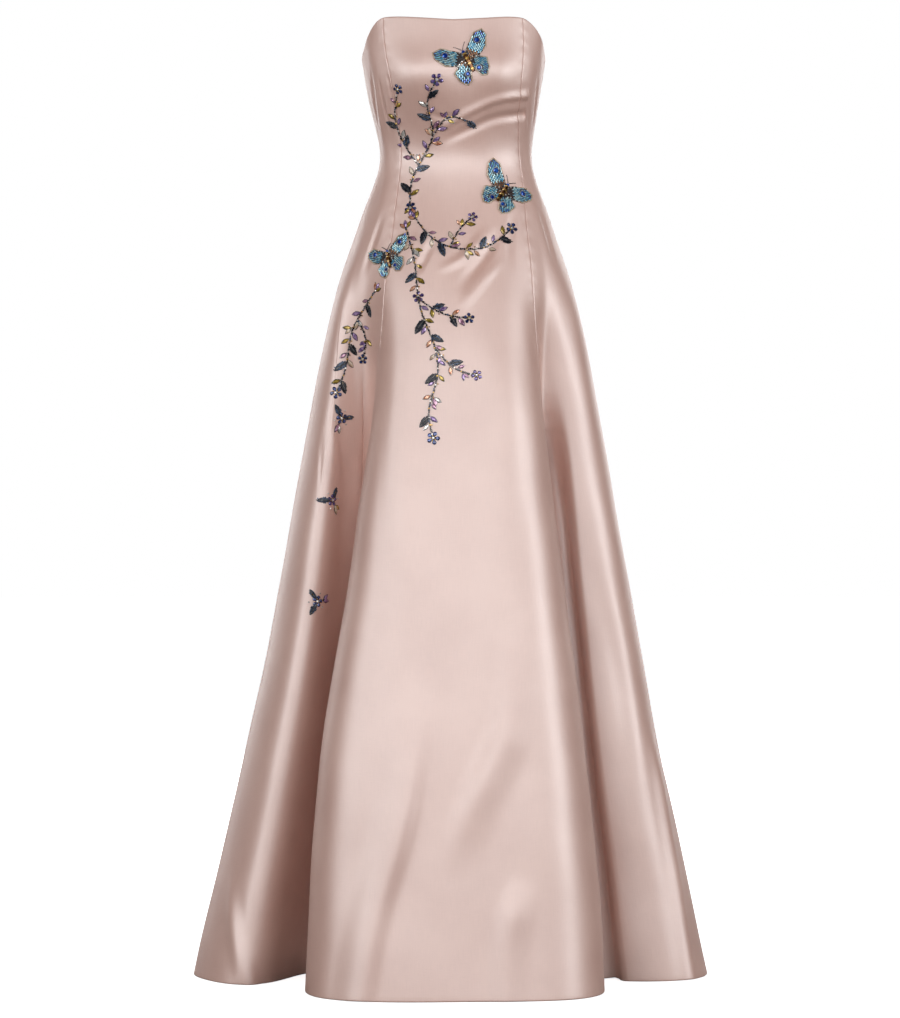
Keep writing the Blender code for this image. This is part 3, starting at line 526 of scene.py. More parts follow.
def panel_grid(first, last, columns):
    """Threads and heights over a panel, with close columns beside its seams, and its rows."""
    rows = cloth_rows()
    coarser = 1.0
    shares = (threads_between(first, last, int(columns / coarser)) - first) / (last - first)
    edge = np.array(column(SEAM_PROFILE, 0)[:-1])
    lift = np.clip((rows - LEVEL_ROW) / (TOP - LEVEL_ROW), 0, None)[:, None]
    level = rows[:, None]
    wide = [
        np.linalg.norm(cloth_point(t + side, level) - cloth_point(t, level), axis=-1)
        for t, side in ((first, THREAD_STEP), (last, -THREAD_STEP))
    ]
    left = first + (edge + SEAM_GAP / 2) * THREAD_STEP / wide[0]
    right = last - (edge[::-1] + SEAM_GAP / 2) * THREAD_STEP / wide[1]
    reach = SEAM_PROFILE[-1][0]
    start = first + reach * THREAD_STEP / wide[0]
    end = last - reach * THREAD_STEP / wide[1]
    threads = np.hstack([left, start + (end - start) * shares[None, :], right])
    heights = level + (neckline(threads) - TOP) * lift
    return threads, heights, rows


def arc(points, axis):
    """Distance along the cloth from the grid's first line, along one axis of the grid."""
    step = np.linalg.norm(np.diff(points, axis=axis), axis=-1)
    total = np.cumsum(step, axis=axis)
    start = np.zeros_like(np.take(total, [0], axis=axis))
    return np.concatenate([start, total], axis=axis)


def panel(name, first, last, columns, satin, lining):
    """One gore as a thin closed shell: satin outside, lining inside, rolled and pressed edges."""
    threads, heights, rows = panel_grid(first, last, columns)
    smooth = cloth_point(threads, heights)
    normal = outward(threads, heights)
    across = arc(smooth, 1)
    seam = np.minimum(across, across[:, -1:] - across)
    profile = np.interp(seam, column(SEAM_PROFILE, 0), column(SEAM_PROFILE, 1))
    drift = PUCKER_DRIFT * np.sin(heights * PUCKER_DRIFT_RATE + first)
    pucker = np.sin(math.tau * heights / PUCKER_LENGTH + drift)
    pucker *= PUCKER_HEIGHT * eased(1 - seam / PUCKER_REACH)
    rise = crease_rise(threads, smooth, normal) + profile + pucker
    edge = np.minimum(TOP - rows, rows)
    drawn = np.interp(edge, column(EDGE_PROFILE, 0), column(EDGE_PROFILE, 1))
    outer = smooth + normal * (rise - drawn[:, None])[..., None]
    middle = np.abs(threads - (first + last) / 2)
    middle = middle / (last - first) * across[:, -1:]
    beside = np.minimum(np.abs(seam - BONE_WIDTH / 2 - BONE_SOFT), middle)
    bones = BONE_RISE * eased((BONE_WIDTH / 2 - beside) / BONE_SOFT)
    foot = eased((heights - BONE_FOOT) / BONE_FOOT_FADE)
    bones *= foot * eased((TOP - BONE_TOP_ROOM - rows[:, None]) / BONE_TOP_FADE)
    if 180 in (abs(first), abs(last)):
        # the two panels beside the zip have no boning
        bones *= 0
    inner = smooth + normal * (rise - profile - WALL - bones + drawn[:, None])[..., None]
    flat = np.stack([across - across[:, -1:] / 2, arc(smooth, 0)], axis=-1)
    obj = walled_sheet(name, outer, inner, flat, (satin, lining), rows)
    WORN[name] = outer
    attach(obj, "gown")
    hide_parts(name)


def walled_sheet(name, outer, inner, flat, finishes, rows):
    """A closed shell between two grids, its UV map in metres of flat cloth."""
    high, wide = outer.shape[:2]
    count = high * wide
    number = np.arange(count).reshape(high, wide)
    quads = np.stack([number[:-1, :-1], number[1:, :-1], number[1:, 1:], number[:-1, 1:]], axis=-1)
    front = quads.reshape(-1, 4)
    back = front[:, ::-1] + count
    ring = np.concatenate([number[0], number[1:, -1], number[-1, -2::-1], number[-2:0:-1, 0]])
    after = np.roll(ring, -1)
    rim = np.stack([ring, after, after + count, ring + count], axis=-1)
    faces = np.concatenate([front, back, rim])
    points = np.concatenate([outer.reshape(-1, 3), inner.reshape(-1, 3)])
    data = bpy.data.meshes.new(name + "_cloth")
    data.from_pydata(points, [], faces.tolist())
    uv = np.concatenate([flat.reshape(-1, 2)] * 2)
    layer = data.uv_layers.new(name="cut")
    layer.uv.foreach_set("vector", uv[faces.ravel()].ravel())
    level = np.broadcast_to(rows[:, None], (high, wide)).ravel()[front[:, 0]]
    inside = (level < TOP - FACING_DEPTH) & (level > HEM_DEPTH)
    slots = np.zeros(len(faces), int)
    slots[len(front) : 2 * len(front)] = inside
    data.polygons.foreach_set("material_index", slots)
    data.shade_smooth()
    for finish in finishes:
        data.materials.append(finish)
    obj = bpy.data.objects.new(name + "_cloth", data)
    bpy.context.scene.collection.objects.link(obj)
    return obj


# Real sizes of the materials' patterns, in metres: a slub of weft, an even stretch of warp, how
# far the threads stand out, a patch of tone, a patch of rolled paint, beads of one batch, and a
# turn of wound thread, which is drawn coarser than its real 0.2 mm so that it shows.
SLUB_LENGTH = 0.0167
WARP_LENGTH = 0.025
THREAD_HEIGHT = 0.00012
TONE_PATCH = 0.111
ROLLER_PATCH = 1.25
BATCH_WIDTH = 0.00435
THREAD_PLY = 0.001

# How much the threads count beside the tone, the scaled length of one wave of a wave texture,
# how metallic a metal is at least, and the refraction of crystal glass
THREAD_SHARE = 0.35
WAVE_LENGTH = math.tau / 20
METAL = 0.8
GLASS_IOR = 1.54


def linear(hex_colour):
    """An sRGB hex colour as linear red, green, blue and alpha."""
    parts = [int(hex_colour[i : i + 2], 16) / 255 for i in (1, 3, 5)]
    return [c / 12.92 if c <= 0.04045 else ((c + 0.055) / 1.055) ** 2.4 for c in parts] + [1]


def add_node(tree, kind, settings=(), values=(), links=()):
    """Adds a node with its settings and socket values, and links outputs to its inputs."""
    node = tree.nodes.new(kind)
    for name, value in dict(settings).items():
        setattr(node, name, value)
    for socket, value in dict(values).items():
        node.inputs[socket].default_value = value
    for socket, output in dict(links).items():
        tree.links.new(output, node.inputs[socket])
    return node


def new_material(name):
    """A material with only its output node."""
    made = bpy.data.materials.new(name)
    made.use_nodes = True
    made.node_tree.nodes.clear()
    output = made.node_tree.nodes.new("ShaderNodeOutputMaterial")
    return made, made.node_tree, output


def woven(name, light, deep, roughness, sheen, weave, specular=0.5, ior=1.5):
    """Woven cloth, in metres of flat cloth: weft with slubs along it, warp across it, and a slow
    change of tone. weave is how far apart the threads are drawn."""
    made, tree, output = new_material(name)
    uv = add_node(tree, "ShaderNodeUVMap", {"uv_map": "cut"}).outputs["UV"]
    threads = []
    for scale, detail, uneven in (
        ((1 / SLUB_LENGTH, 1 / weave, 1.0), 2.0, 0.6),
        ((1 / weave, 1 / WARP_LENGTH, 1.0), 1.0, 0.5),
    ):
        placed = add_node(tree, "ShaderNodeMapping", values={"Scale": scale}, links={"Vector": uv})
        noise = add_node(
            tree,
            "ShaderNodeTexNoise",
            values={"Scale": 1.0, "Detail": detail, "Roughness": uneven},
            links={"Vector": placed.outputs["Vector"]},
        )
        threads.append(noise.outputs["Fac"])
    both = add_node(
        tree, "ShaderNodeMath", {"operation": "ADD"}, links={0: threads[0], 1: threads[1]}
    ).outputs["Value"]
    tone = add_node(
        tree,
        "ShaderNodeTexNoise",
        values={"Scale": 1 / TONE_PATCH, "Detail": 3.0},
        links={"Vector": uv},
    )
    mixed = add_node(
        tree,
        "ShaderNodeMath",
        {"operation": "MULTIPLY_ADD"},
        values={1: THREAD_SHARE},
        links={0: both, 2: tone.outputs["Fac"]},
    )
    colour = add_node(tree, "ShaderNodeValToRGB", links={"Fac": mixed.outputs["Value"]})
    for stop, position, shade in zip(colour.color_ramp.elements, (0.55, 1.15), (deep, light)):
        stop.position = position
        stop.color = linear(shade)
    rough = add_node(
        tree,
        "ShaderNodeMapRange",
        values={
            "From Min": 0.7,
            "From Max": 1.3,
            "To Min": roughness - 0.03,
            "To Max": roughness + 0.03,
        },
        links={"Value": both},
    )
    bump = add_node(
        tree,
        "ShaderNodeBump",
        values={"Strength": 0.6, "Distance": THREAD_HEIGHT},
        links={"Height": both},
    )
    shader = add_node(
        tree,
        "ShaderNodeBsdfPrincipled",
        values={
            "Specular IOR Level": specular,
            "IOR": ior,
            "Sheen Weight": sheen,
            "Sheen Roughness": 0.35,
            "Sheen Tint": linear("#fff0ea"),
        },
        links={
            "Base Color": colour.outputs["Color"],
            "Roughness": rough.outputs["Result"],
            "Normal": bump.outputs["Normal"],
        },
    )
    tree.links.new(shader.outputs["BSDF"], output.inputs["Surface"])
    return made


def painted_floor():
    """Matt white emulsion, rolled on: nearly white, with faint patches from the roller. A glow
    that grows away from the gown lets the floor meet the white surround with no edge."""
    made, tree, output = new_material("studio_floor_emulsion_rolled")
    place = add_node(tree, "ShaderNodeTexCoord").outputs["Object"]
    uneven = add_node(
        tree,
        "ShaderNodeTexNoise",
        values={"Scale": 1 / ROLLER_PATCH, "Detail": 3.0},
        links={"Vector": place},
    )
    colour = add_node(tree, "ShaderNodeValToRGB", links={"Fac": uneven.outputs["Fac"]})
    for stop, shade in zip(colour.color_ramp.elements, ("#f2f1f0", "#f7f6f5")):
        stop.color = linear(shade)
    away = add_node(tree, "ShaderNodeVectorMath", {"operation": "LENGTH"}, links={0: place})
    glow = add_node(
        tree,
        "ShaderNodeMapRange",
        values={"From Min": 1.2, "From Max": 3.5, "To Min": 0.80, "To Max": 1.0},
        links={"Value": away.outputs["Value"]},
    )
    shader = add_node(
        tree,
        "ShaderNodeBsdfPrincipled",
        values={"Roughness": 0.75, "Emission Color": (1, 1, 1, 1)},
        links={"Base Color": colour.outputs["Color"], "Emission Strength": glow.outputs["Result"]},
    )
    tree.links.new(shader.outputs["BSDF"], output.inputs["Surface"])
    return made


# Where the beading lies, as (x, height) seen from the front.
STEMS = [
    # name, points of its main stem, then for each twig the share of the way at which it
    # leaves the main stem, and its further points
    (
        "spray_bodice",
        [
            (-0.071, 1.148),
            (-0.069, 1.185),
            (-0.051, 1.225),
            (-0.038, 1.262),
            (-0.047, 1.300),
            (-0.034, 1.334),
        ],
        [
            (0.34, [(-0.080, 1.246), (-0.093, 1.286), (-0.090, 1.322)]),
            (0.56, [(-0.014, 1.281), (0.012, 1.276)]),
        ],
    ),
    (
        "spray_hip",
        [(-0.064, 1.132), (-0.038, 1.100), (0.004, 1.085), (0.046, 1.092), (0.078, 1.118)],
        [(0.40, [(0.000, 1.114), (0.020, 1.134)])],
    ),
    (
        "spray_side",
        [(-0.122, 1.026), (-0.140, 0.998), (-0.158, 0.962), (-0.165, 0.918), (-0.180, 0.876)],
        [(0.30, [(-0.136, 0.956), (-0.140, 0.926)])],
    ),
    (
        "spray_skirt",
        [
            (-0.078, 1.118),
            (-0.066, 1.064),
            (-0.058, 0.994),
            (-0.040, 0.944),
            (-0.036, 0.892),
            (-0.048, 0.846),
            (-0.042, 0.806),
        ],
        [
            (0.34, [(-0.024, 0.988), (0.012, 0.982)]),
            (0.58, [(-0.006, 0.906), (0.022, 0.898)]),
        ],
    ),
]

LEAVES = [
    # spray, stem, share of the way along it, turn away from it, length
    ("spray_bodice", 0, 0.12, 52.0, 0.024),
    ("spray_bodice", 0, 0.30, -48.0, 0.022),
    ("spray_bodice", 0, 0.52, -56.0, 0.024),
    ("spray_bodice", 0, 0.70, 50.0, 0.022),
    ("spray_bodice", 0, 0.86, -40.0, 0.020),
    ("spray_bodice", 1, 0.28, -45.0, 0.020),
    ("spray_bodice", 1, 0.55, 50.0, 0.022),
    ("spray_bodice", 1, 0.78, -42.0, 0.020),
    ("spray_bodice", 2, 0.45, 55.0, 0.018),
    ("spray_bodice", 2, 1.00, -20.0, 0.022),
    ("spray_hip", 0, 0.14, -52.0, 0.022),
    ("spray_hip", 0, 0.30, -40.0, 0.024),
    ("spray_hip", 0, 0.52, -48.0, 0.024),
    ("spray_hip", 0, 0.66, 46.0, 0.022),
    ("spray_hip", 0, 0.86, -50.0, 0.022),
    ("spray_hip", 1, 0.60, 50.0, 0.018),
    ("spray_side", 0, 0.14, 48.0, 0.022),
    ("spray_side", 0, 0.38, -50.0, 0.022),
    ("spray_side", 0, 0.54, 46.0, 0.022),
    ("spray_side", 0, 0.70, -44.0, 0.024),
    ("spray_side", 0, 0.88, 42.0, 0.022),
    ("spray_side", 1, 0.55, -48.0, 0.018),
    ("spray_skirt", 0, 0.10, 48.0, 0.024),
    ("spray_skirt", 0, 0.22, -52.0, 0.022),
    ("spray_skirt", 0, 0.44, -50.0, 0.026),
    ("spray_skirt", 0, 0.52, 44.0, 0.022),
    ("spray_skirt", 0, 0.70, -46.0, 0.024),
    ("spray_skirt", 0, 0.80, 50.0, 0.024),
    ("spray_skirt", 0, 0.90, -42.0, 0.022),
    ("spray_skirt", 1, 0.30, 52.0, 0.020),
    ("spray_skirt", 1, 0.66, -48.0, 0.020),
    ("spray_skirt", 2, 0.40, 52.0, 0.022),
    ("spray_skirt", 2, 0.72, -46.0, 0.018),
]

FLOWERS = [
    # spray, stem, share of the way along it, turn, diameter
    ("spray_bodice", 0, 0.00, 40.0, 0.018),
    ("spray_bodice", 0, 1.00, 0.0, 0.019),
    ("spray_bodice", 1, 1.00, 20.0, 0.016),
    ("spray_hip", 0, 1.00, 10.0, 0.018),
    ("spray_hip", 1, 1.00, 30.0, 0.015),
    ("spray_side", 0, 1.00, 15.0, 0.018),
    ("spray_side", 1, 1.00, 50.0, 0.015),
    ("spray_skirt", 0, 0.33, 35.0, 0.017),
    ("spray_skirt", 0, 1.00, 0.0, 0.019),
    ("spray_skirt", 1, 1.00, 25.0, 0.016),
    ("spray_skirt", 2, 1.00, 55.0, 0.016),
]

BLOSSOMS = [
    # name, x, height, turn, diameter
    ("blossom_upper", -0.172, 0.838, 10.0, 0.018),
    ("blossom_middle", -0.186, 0.716, 70.0, 0.017),
    ("blossom_lower", -0.208, 0.566, 130.0, 0.017),
]
BLOSSOM_LEAVES = [
    # turn, length
    (20.0, 0.022),
    (150.0, 0.024),
    (265.0, 0.020),
]

BUTTERFLIES = [
    # name, x, height, turn, size
    ("butterfly_bust", 0.012, 1.362, 28.0, 1.0),
    ("butterfly_waist", 0.066, 1.172, -38.0, 1.0),
    ("butterfly_hip", -0.103, 1.072, 24.0, 0.85),
]
WINGS = [
    # outline of the right-hand wing as (x, y) from the middle of the body, then its large stone:
    # the share of the wing's length at which it sits, its width, and the bare ring round it
    (
        [
            (-0.001, -0.001),
            (0.014, -0.002),
            (0.034, 0.008),
            (0.043, 0.024),
            (0.041, 0.034),
            (0.027, 0.034),
            (0.005, 0.015),
        ],
        0.66,
        0.0074,
        0.0062,
    ),
    (
        [
            (-0.001, 0.004),
            (-0.001, -0.006),
            (0.008, -0.028),
            (0.016, -0.031),
            (0.024, -0.022),
            (0.027, -0.008),
            (0.012, 0.002),
        ],
        0.60,
        0.0056,
        0.0052,
    ),
]

# How a place on the cloth is found: from how far in front of the gown, from how far above the
# cloth, over what share of a motif its tilt is taken, and over what share of a stem its heading
SIGHT = 2.0
SEARCH = 0.03
FRAME_SHARE = 0.7
HEADING_STEP = 0.02

# How beads are sewn: cups and pads sit a little in the cloth, and stones a little above it.
CUP_SUNK = -0.0002
STONE_LIFT = 0.0004
STEM_BEAD = 0.0030
STEM_PITCH = 0.0027
CRYSTAL_PITCH = 0.0105
CRYSTAL_ASIDE = 0.0066
CRYSTAL_SHAPE = 0.47
CRYSTAL_ROOM = 0.0105
SPRIG_BELOW = 0.0195
BUD = [
    # aside, turn, finish
    (0, 0, "lilac"),
    (0.0048, -38, "olive"),
    (-0.0048, 38, "peach"),
]
LEAF_WIDTH = 0.43
LEAF_HALF = [(0.0, 0.20), (0.12, 0.62), (0.32, 1.0), (0.55, 0.92), (0.80, 0.48), (1.0, 0.06)]
LEAF_ROW = 0.0021
LEAF_BEAD = 0.0021
LEAF_SLANT = 0.55
LEAF_TURN = 52
PETALS = 5
BUGLE_PITCH = 0.0050
BUGLE_ROW = 0.0024
BUGLE_START = 0.0045
BUGLE_MARGIN = 0.0011
WING_FAN = 0.35
WING_RINGS = (1.0, 0.7, 0.4, 0.05)
WING_ROOT = 0.34
WING_TIP = 0.80
WING_EDGE_TIP = 0.55
RING_BEADS = 13
EDGE_PITCH = 0.0020
STEM_FINISHES = ["jet", "jet", "gunmetal", "jet", "clear", "jet", "slate", "jet", "gold"]
CRYSTAL_FINISHES = ["lilac", "olive", "peach", "mauve", "champagne", "lilac", "clear", "olive"]
FLOWER_FINISHES = ["navy", "violet", "navy"]

# The zip: its tape in rows and columns, the thread on both sides that shows which way the tape
# lies, its coil, and the stitches along the tape's edges
ZIP_LENGTH = 0.38
ZIP_ROW = 0.0032
TAPE_WIDTH = 0.024
TAPE_COLUMNS = 6
TAPE_THICKNESS = 0.0008
BESIDE_BACK_SEAM = 173.0
COIL_PITCH = 0.0016
COIL_BEAD = (0.0010, 0.0044, 0.0013)
COIL_SUNK = 0.0004
COIL_TOP_ROOM = 0.004
COIL_FOOT_ROOM = 0.006
TAPE_STITCH = (0.0004, 0.0024, 0.0004)
STITCH_INSET = 0.18

# The understitching below the neckline, which stops short of each seam
STITCHES = 260
STITCH_SIZE = (0.0005, 0.0026, 0.0005)
STITCH_DROP = 0.0075
STITCH_PROUD = 0.00005
STITCH_LAST_THREAD = 178.5
STITCH_SEAM_ROOM = 1.0

# The bead shapes and the bead finishes, by name
SHAPES = {}
FINISHES = {}


def pick(obj, test):
    """Selects the vertices of the edited mesh whose places pass the test."""
    mesh = bmesh.from_edit_mesh(obj.data)
    for vertex in mesh.verts:
        vertex.select_set(test(vertex.co))
    mesh.select_flush(True)
    bmesh.update_edit_mesh(obj.data)


def faceted(name, corners, levels, radius=0.5, pinches=()):
    """A bead shape: a polygon, pinched to a point where asked, drawn up through its levels."""
    bpy.ops.object.select_all(action="DESELECT")
    bpy.ops.mesh.primitive_circle_add(vertices=corners, radius=radius, fill_type="NGON")
    obj = bpy.context.object
    bpy.ops.object.mode_set(mode="EDIT")
    for low, high, narrow in pinches:
        pick(obj, lambda place: low < place.y < high)
        bpy.ops.transform.resize(value=(narrow, 1, 1))
    bpy.ops.mesh.select_all(action="SELECT")
    for rise, size in levels:
        bpy.ops.mesh.extrude_region_move(TRANSFORM_OT_translate={"value": (0, 0, rise)})
        bpy.ops.transform.resize(value=(size, size, 1))
    bpy.ops.mesh.select_all(action="SELECT")
    bpy.ops.mesh.normals_make_consistent(inside=False)
    bpy.ops.object.mode_set(mode="OBJECT")
    keep_shape(name, obj)


def bead_shapes():
    """Models each kind of bead once, 1 across and 1 long."""
    faceted("seed", 7, [(0.26, 1.6), (0.28, 1.0), (0.24, 0.62)], radius=0.31)
    ends = [(0.2, 0.4, 0.80), (0.4, 0.49, 0.55), (-0.4, -0.2, 0.80), (-0.49, -0.4, 0.55)]
    faceted("navette", 12, [(0.22, 1.0), (0.34, 0.56)], pinches=ends)
    faceted("cup", 12, [(0.30, 1.04)], radius=0.53, pinches=ends)
    faceted("round_stone", 10, [(0.18, 1.0), (0.30, 0.58)])
    faceted("petal", 10, [(0.25, 1.0), (0.32, 0.58)], pinches=[(-0.49, -0.1, 0.55)])
    tips = [(0.15, 0.44, 0.86), (0.44, 0.49, 0.6), (-0.44, -0.3, 0.8), (-0.49, -0.44, 0.6)]
    faceted("leaf_pad", 14, [(0.3, 0.96), (0.35, 0.80), (0.2, 0.60)], pinches=tips)
    bpy.ops.object.select_all(action="DESELECT")
    bpy.ops.mesh.primitive_cylinder_add(
        vertices=6, radius=0.38, depth=0.8, rotation=(math.radians(90), 0, 0)
    )
    obj = bpy.context.object
    bpy.ops.object.transform_apply(rotation=True)
    bpy.ops.object.mode_set(mode="EDIT")
    for end in (-1, 1):
        bpy.ops.mesh.select_all(action="DESELECT")
        pick(obj, lambda place: place.y * end > 0.3)
        bpy.ops.mesh.extrude_region_move(TRANSFORM_OT_translate={"value": (0, 0.1 * end, 0)})
        bpy.ops.transform.resize(value=(0.6, 1, 0.6))
    bpy.ops.object.mode_set(mode="OBJECT")
    keep_shape("bugle", obj)


def keep_shape(name, obj):
    """Keeps a bead's points and faces for copying, and clears its pattern away."""
    points = np.array([vertex.co for vertex in obj.data.vertices])
    SHAPES[name] = points, [tuple(face.vertices) for face in obj.data.polygons]
    bpy.data.objects.remove(obj)


class Embroidery:
    """Beads sewn to the finished cloth, gathered into one piece."""

    def __init__(self, tree):
        self.tree = tree
        self.copies = []

    def under(self, x, height):
        """The cloth's place and outward direction where a level look from the front meets it."""
        start = Vector((x, -SIGHT, height - WAIST_HEIGHT))
        place, normal, _, _ = self.tree.ray_cast(start, Vector((0, 1, 0)))
        if place is None:
            # the look went through a seam's gap
            start.x += 2 * SEAM_GAP
            place, normal, _, _ = self.tree.ray_cast(start, Vector((0, 1, 0)))
        return place, normal * (1 if normal.y < 0 else -1)

    def frame(self, x, height, turn, reach):
        """A frame on the cloth for a motif of this reach, turned in degrees."""
        place, normal = self.under(x, height)
        for aside, above in ((reach, 0), (-reach, 0), (0, reach), (0, -reach)):
            normal = normal + self.under(x + aside * FRAME_SHARE, height + above * FRAME_SHARE)[1]
        normal.normalize()
        right = Vector((0, 0, 1)).cross(normal).normalized()
        axes = Matrix((right, normal.cross(right), normal)).transposed().to_4x4()
        return Matrix.Translation(place) @ axes @ Matrix.Rotation(math.radians(turn), 4, "Z")

    def landed(self, frame, across, up):
        """Where the cloth lies under a point of the frame, and its outward direction there."""
        inward = -(frame.to_3x3() @ Vector((0, 0, 1)))
        start = frame @ Vector((across, up, SEARCH))
        place, normal, _, _ = self.tree.ray_cast(start, inward, 3 * SEARCH)
        if place is None:
            place, normal, _, _ = self.tree.find_nearest(frame @ Vector((across, up, 0)))
        return place, normal * (1 if normal.dot(inward) < 0 else -1)

    def sew(self, shape, finish, frame, across, up, size, heading=0.0, lift=0.0):
        """Sews a copy of a bead, size (wide, long, thick), its length along the heading."""
        place, normal = self.landed(frame, across, up)
        turn = math.radians(heading)
        along = frame.to_3x3() @ Vector((-math.sin(turn), math.cos(turn), 0))
        along = (along - normal * along.dot(normal)).normalized()
        axes = np.array([along.cross(normal), along, normal]).T * np.array(size)
        self.copies.append((shape, finish, axes, np.array(place + normal * lift)))

    def crystal(self, finish, frame, across, up, width, length, heading):
        """A pointed crystal in its metal cup."""
        thick = width * 0.55
        cup = (width * 1.12, length * 1.08, thick * 0.8)
        stone = (width, length, thick)
        self.sew("cup", "gunmetal", frame, across, up, cup, heading, CUP_SUNK)
        self.sew("navette", finish, frame, across, up, stone, heading, STONE_LIFT)

    def stem(self, points, offset):
        """Small round beads in a row along a stem, a little uneven in size and line."""
        length = np.linalg.norm(np.diff(points, axis=0), axis=1).sum()
        count = int(length / STEM_PITCH)
        for number, (x, height) in enumerate(along_stem(points, np.linspace(0, 1, count))):
            finish = STEM_FINISHES[(number + offset) % len(STEM_FINISHES)]
            frame = self.frame(x, height, heading_on(points, number / count), 0.004)
            size = STEM_BEAD * (1 + 0.16 * math.sin(number * 2.3 + offset))
            aside = 0.0004 * math.sin(number * 1.7 + offset)
            self.sew("seed", finish, frame, aside, 0, (size, size, size * 0.95))

    def leaf(self, frame, length, finish):
        """A padded leaf covered in slanting rows of small beads, with a row down its middle."""
        half = length * LEAF_WIDTH / 2
        pad = (half * 1.9, length * 0.98, 0.0018)
        self.sew("leaf_pad", "dark_thread", frame, 0, length / 2, pad, 0, -0.0003)
        for up in np.arange(0.0012, length - 0.0015, LEAF_ROW * 0.94):
            self.sew("seed", "gunmetal", frame, 0, up, (0.0018,) * 3, 0, 0.0011)
            for aside in np.arange(LEAF_ROW, half, LEAF_ROW * 0.9):
                slanted = up + LEAF_SLANT * aside
                share = slanted / length
                if share < 1 and aside < half * np.interp(share, *zip(*LEAF_HALF)):
                    lift = 0.0012 - 0.0009 * aside / half
                    size = (LEAF_BEAD * 0.92, LEAF_BEAD * 1.2, LEAF_BEAD * 0.85)
                    for side in (-1, 1):
                        place = (side * aside, slanted)
                        self.sew("seed", finish, frame, *place, size, -side * LEAF_TURN, lift)

    def sprig(self, frame, length, number):
        """A pair of pointed crystals in place of a beaded leaf."""
        for step, (aside, turn) in enumerate(((0.0022, -20), (-0.0026, 26))):
            finish = CRYSTAL_FINISHES[(number + 3 * step) % len(CRYSTAL_FINISHES)]
            long = length * (0.58 - 0.06 * step)
            self.crystal(finish, frame, aside, length * 0.42, long * CRYSTAL_SHAPE, long, turn)
        self.sew("seed", "gold", frame, 0, 0.0015, (0.0024,) * 3)

    def flower(self, frame, diameter, number):
        """Five drop-shaped stones round a clear one, with small gold beads between."""
        finish = FLOWER_FINISHES[number % len(FLOWER_FINISHES)]
        out = diameter * 0.30
        size = (diameter * 0.34, diameter * 0.42, 0.0028)
        cup = (size[0] * 1.12, size[1] * 1.1, 0.0020)
        for petal in range(PETALS):
            turn = petal * 360 / PETALS
            spin = math.radians(turn)
            place = (-out * math.sin(spin), out * math.cos(spin))
            self.sew("petal", "gunmetal", frame, *place, cup, turn, CUP_SUNK)
            self.sew("petal", finish, frame, *place, size, turn, STONE_LIFT)
            spin += math.pi / PETALS
            place = (-0.62 * out * math.sin(spin), 0.62 * out * math.cos(spin))
            self.sew("seed", "gold", frame, *place, (0.0019,) * 3, 0, 0.0010)
        centre = (diameter * 0.26, diameter * 0.26, 0.0034)
        self.sew("round_stone", "clear", frame, 0, 0, centre, 0, 0.0008)

    def wing(self, frame, outline, stone_share, stone_width, stone_ring, side, size):
        """Rows of bugles that fan out from the body, a ringed stone, and a beaded edge."""
        corners = np.array(outline) * size * [side, 1]
        root = corners[0]
        tip = corners[np.argmax(np.linalg.norm(corners - root, axis=1))]
        reach = np.linalg.norm(tip - root)
        rings = []
        for share in WING_RINGS:
            ring = corners.mean(axis=0) + share * (corners - corners.mean(axis=0))
            sides = zip(ring, np.roll(ring, -1, axis=0))
            rings.append(np.concatenate([np.linspace(a, b, 4)[:-1] for a, b in sides]))
        self.backing(frame, rings)
        stone = root + (tip - root) * stone_share
        along = (tip - root) / reach
        across = np.array([-along[1], along[0]])
        heading = math.degrees(math.atan2(-along[0], along[1]))
        bugle = (0.0017, BUGLE_PITCH * 0.93, 0.0019)
        for row in np.arange(-int(reach / BUGLE_ROW), int(reach / BUGLE_ROW)):
            shift = BUGLE_PITCH * (0.5 if row % 2 else 0.0)
            for step in np.arange(BUGLE_START + shift, reach * 1.1, BUGLE_PITCH):
                fan = 1 + WING_FAN * (step / reach - 0.5)
                place = root + along * step + across * row * BUGLE_ROW * fan
                inside = inside_outline(place, corners, BUGLE_MARGIN)
                if inside and np.linalg.norm(place - stone) > stone_ring * size:
                    share = np.linalg.norm(place - root) / reach
                    finish = "turquoise" if share < WING_TIP else "iris"
                    if share < WING_ROOT:
                        finish = "bronze"
                    lean = math.degrees(WING_FAN * row * BUGLE_ROW / reach)
                    self.sew("bugle", finish, frame, *place, bugle, heading + lean, 0.0014)
        wide = stone_width * size
        self.sew("round_stone", "royal", frame, *stone, (wide, wide, 0.0040), 0, 0.0006)
        for number in range(RING_BEADS):
            spin = number * math.tau / RING_BEADS
            place = stone + (wide / 2 + 0.0011) * np.array([math.cos(spin), math.sin(spin)])
            self.sew("seed", "grey", frame, *place, (0.0018,) * 3, 0, 0.0009)
        edge = np.concatenate([corners, corners[:1]])
        lengths = np.append(0, np.cumsum(np.linalg.norm(np.diff(edge, axis=0), axis=1)))
        for number, at in enumerate(np.arange(0, lengths[-1], EDGE_PITCH)):
            place = [np.interp(at, lengths, edge[:, n]) for n in (0, 1)]
            far = np.linalg.norm(np.array(place) - root) / reach
            finish = "gunmetal" if number % 3 else "clear"
            if far > WING_EDGE_TIP:
                finish = "champagne"
            self.sew("seed", finish, frame, *place, (0.0024,) * 3, 0, STONE_LIFT)

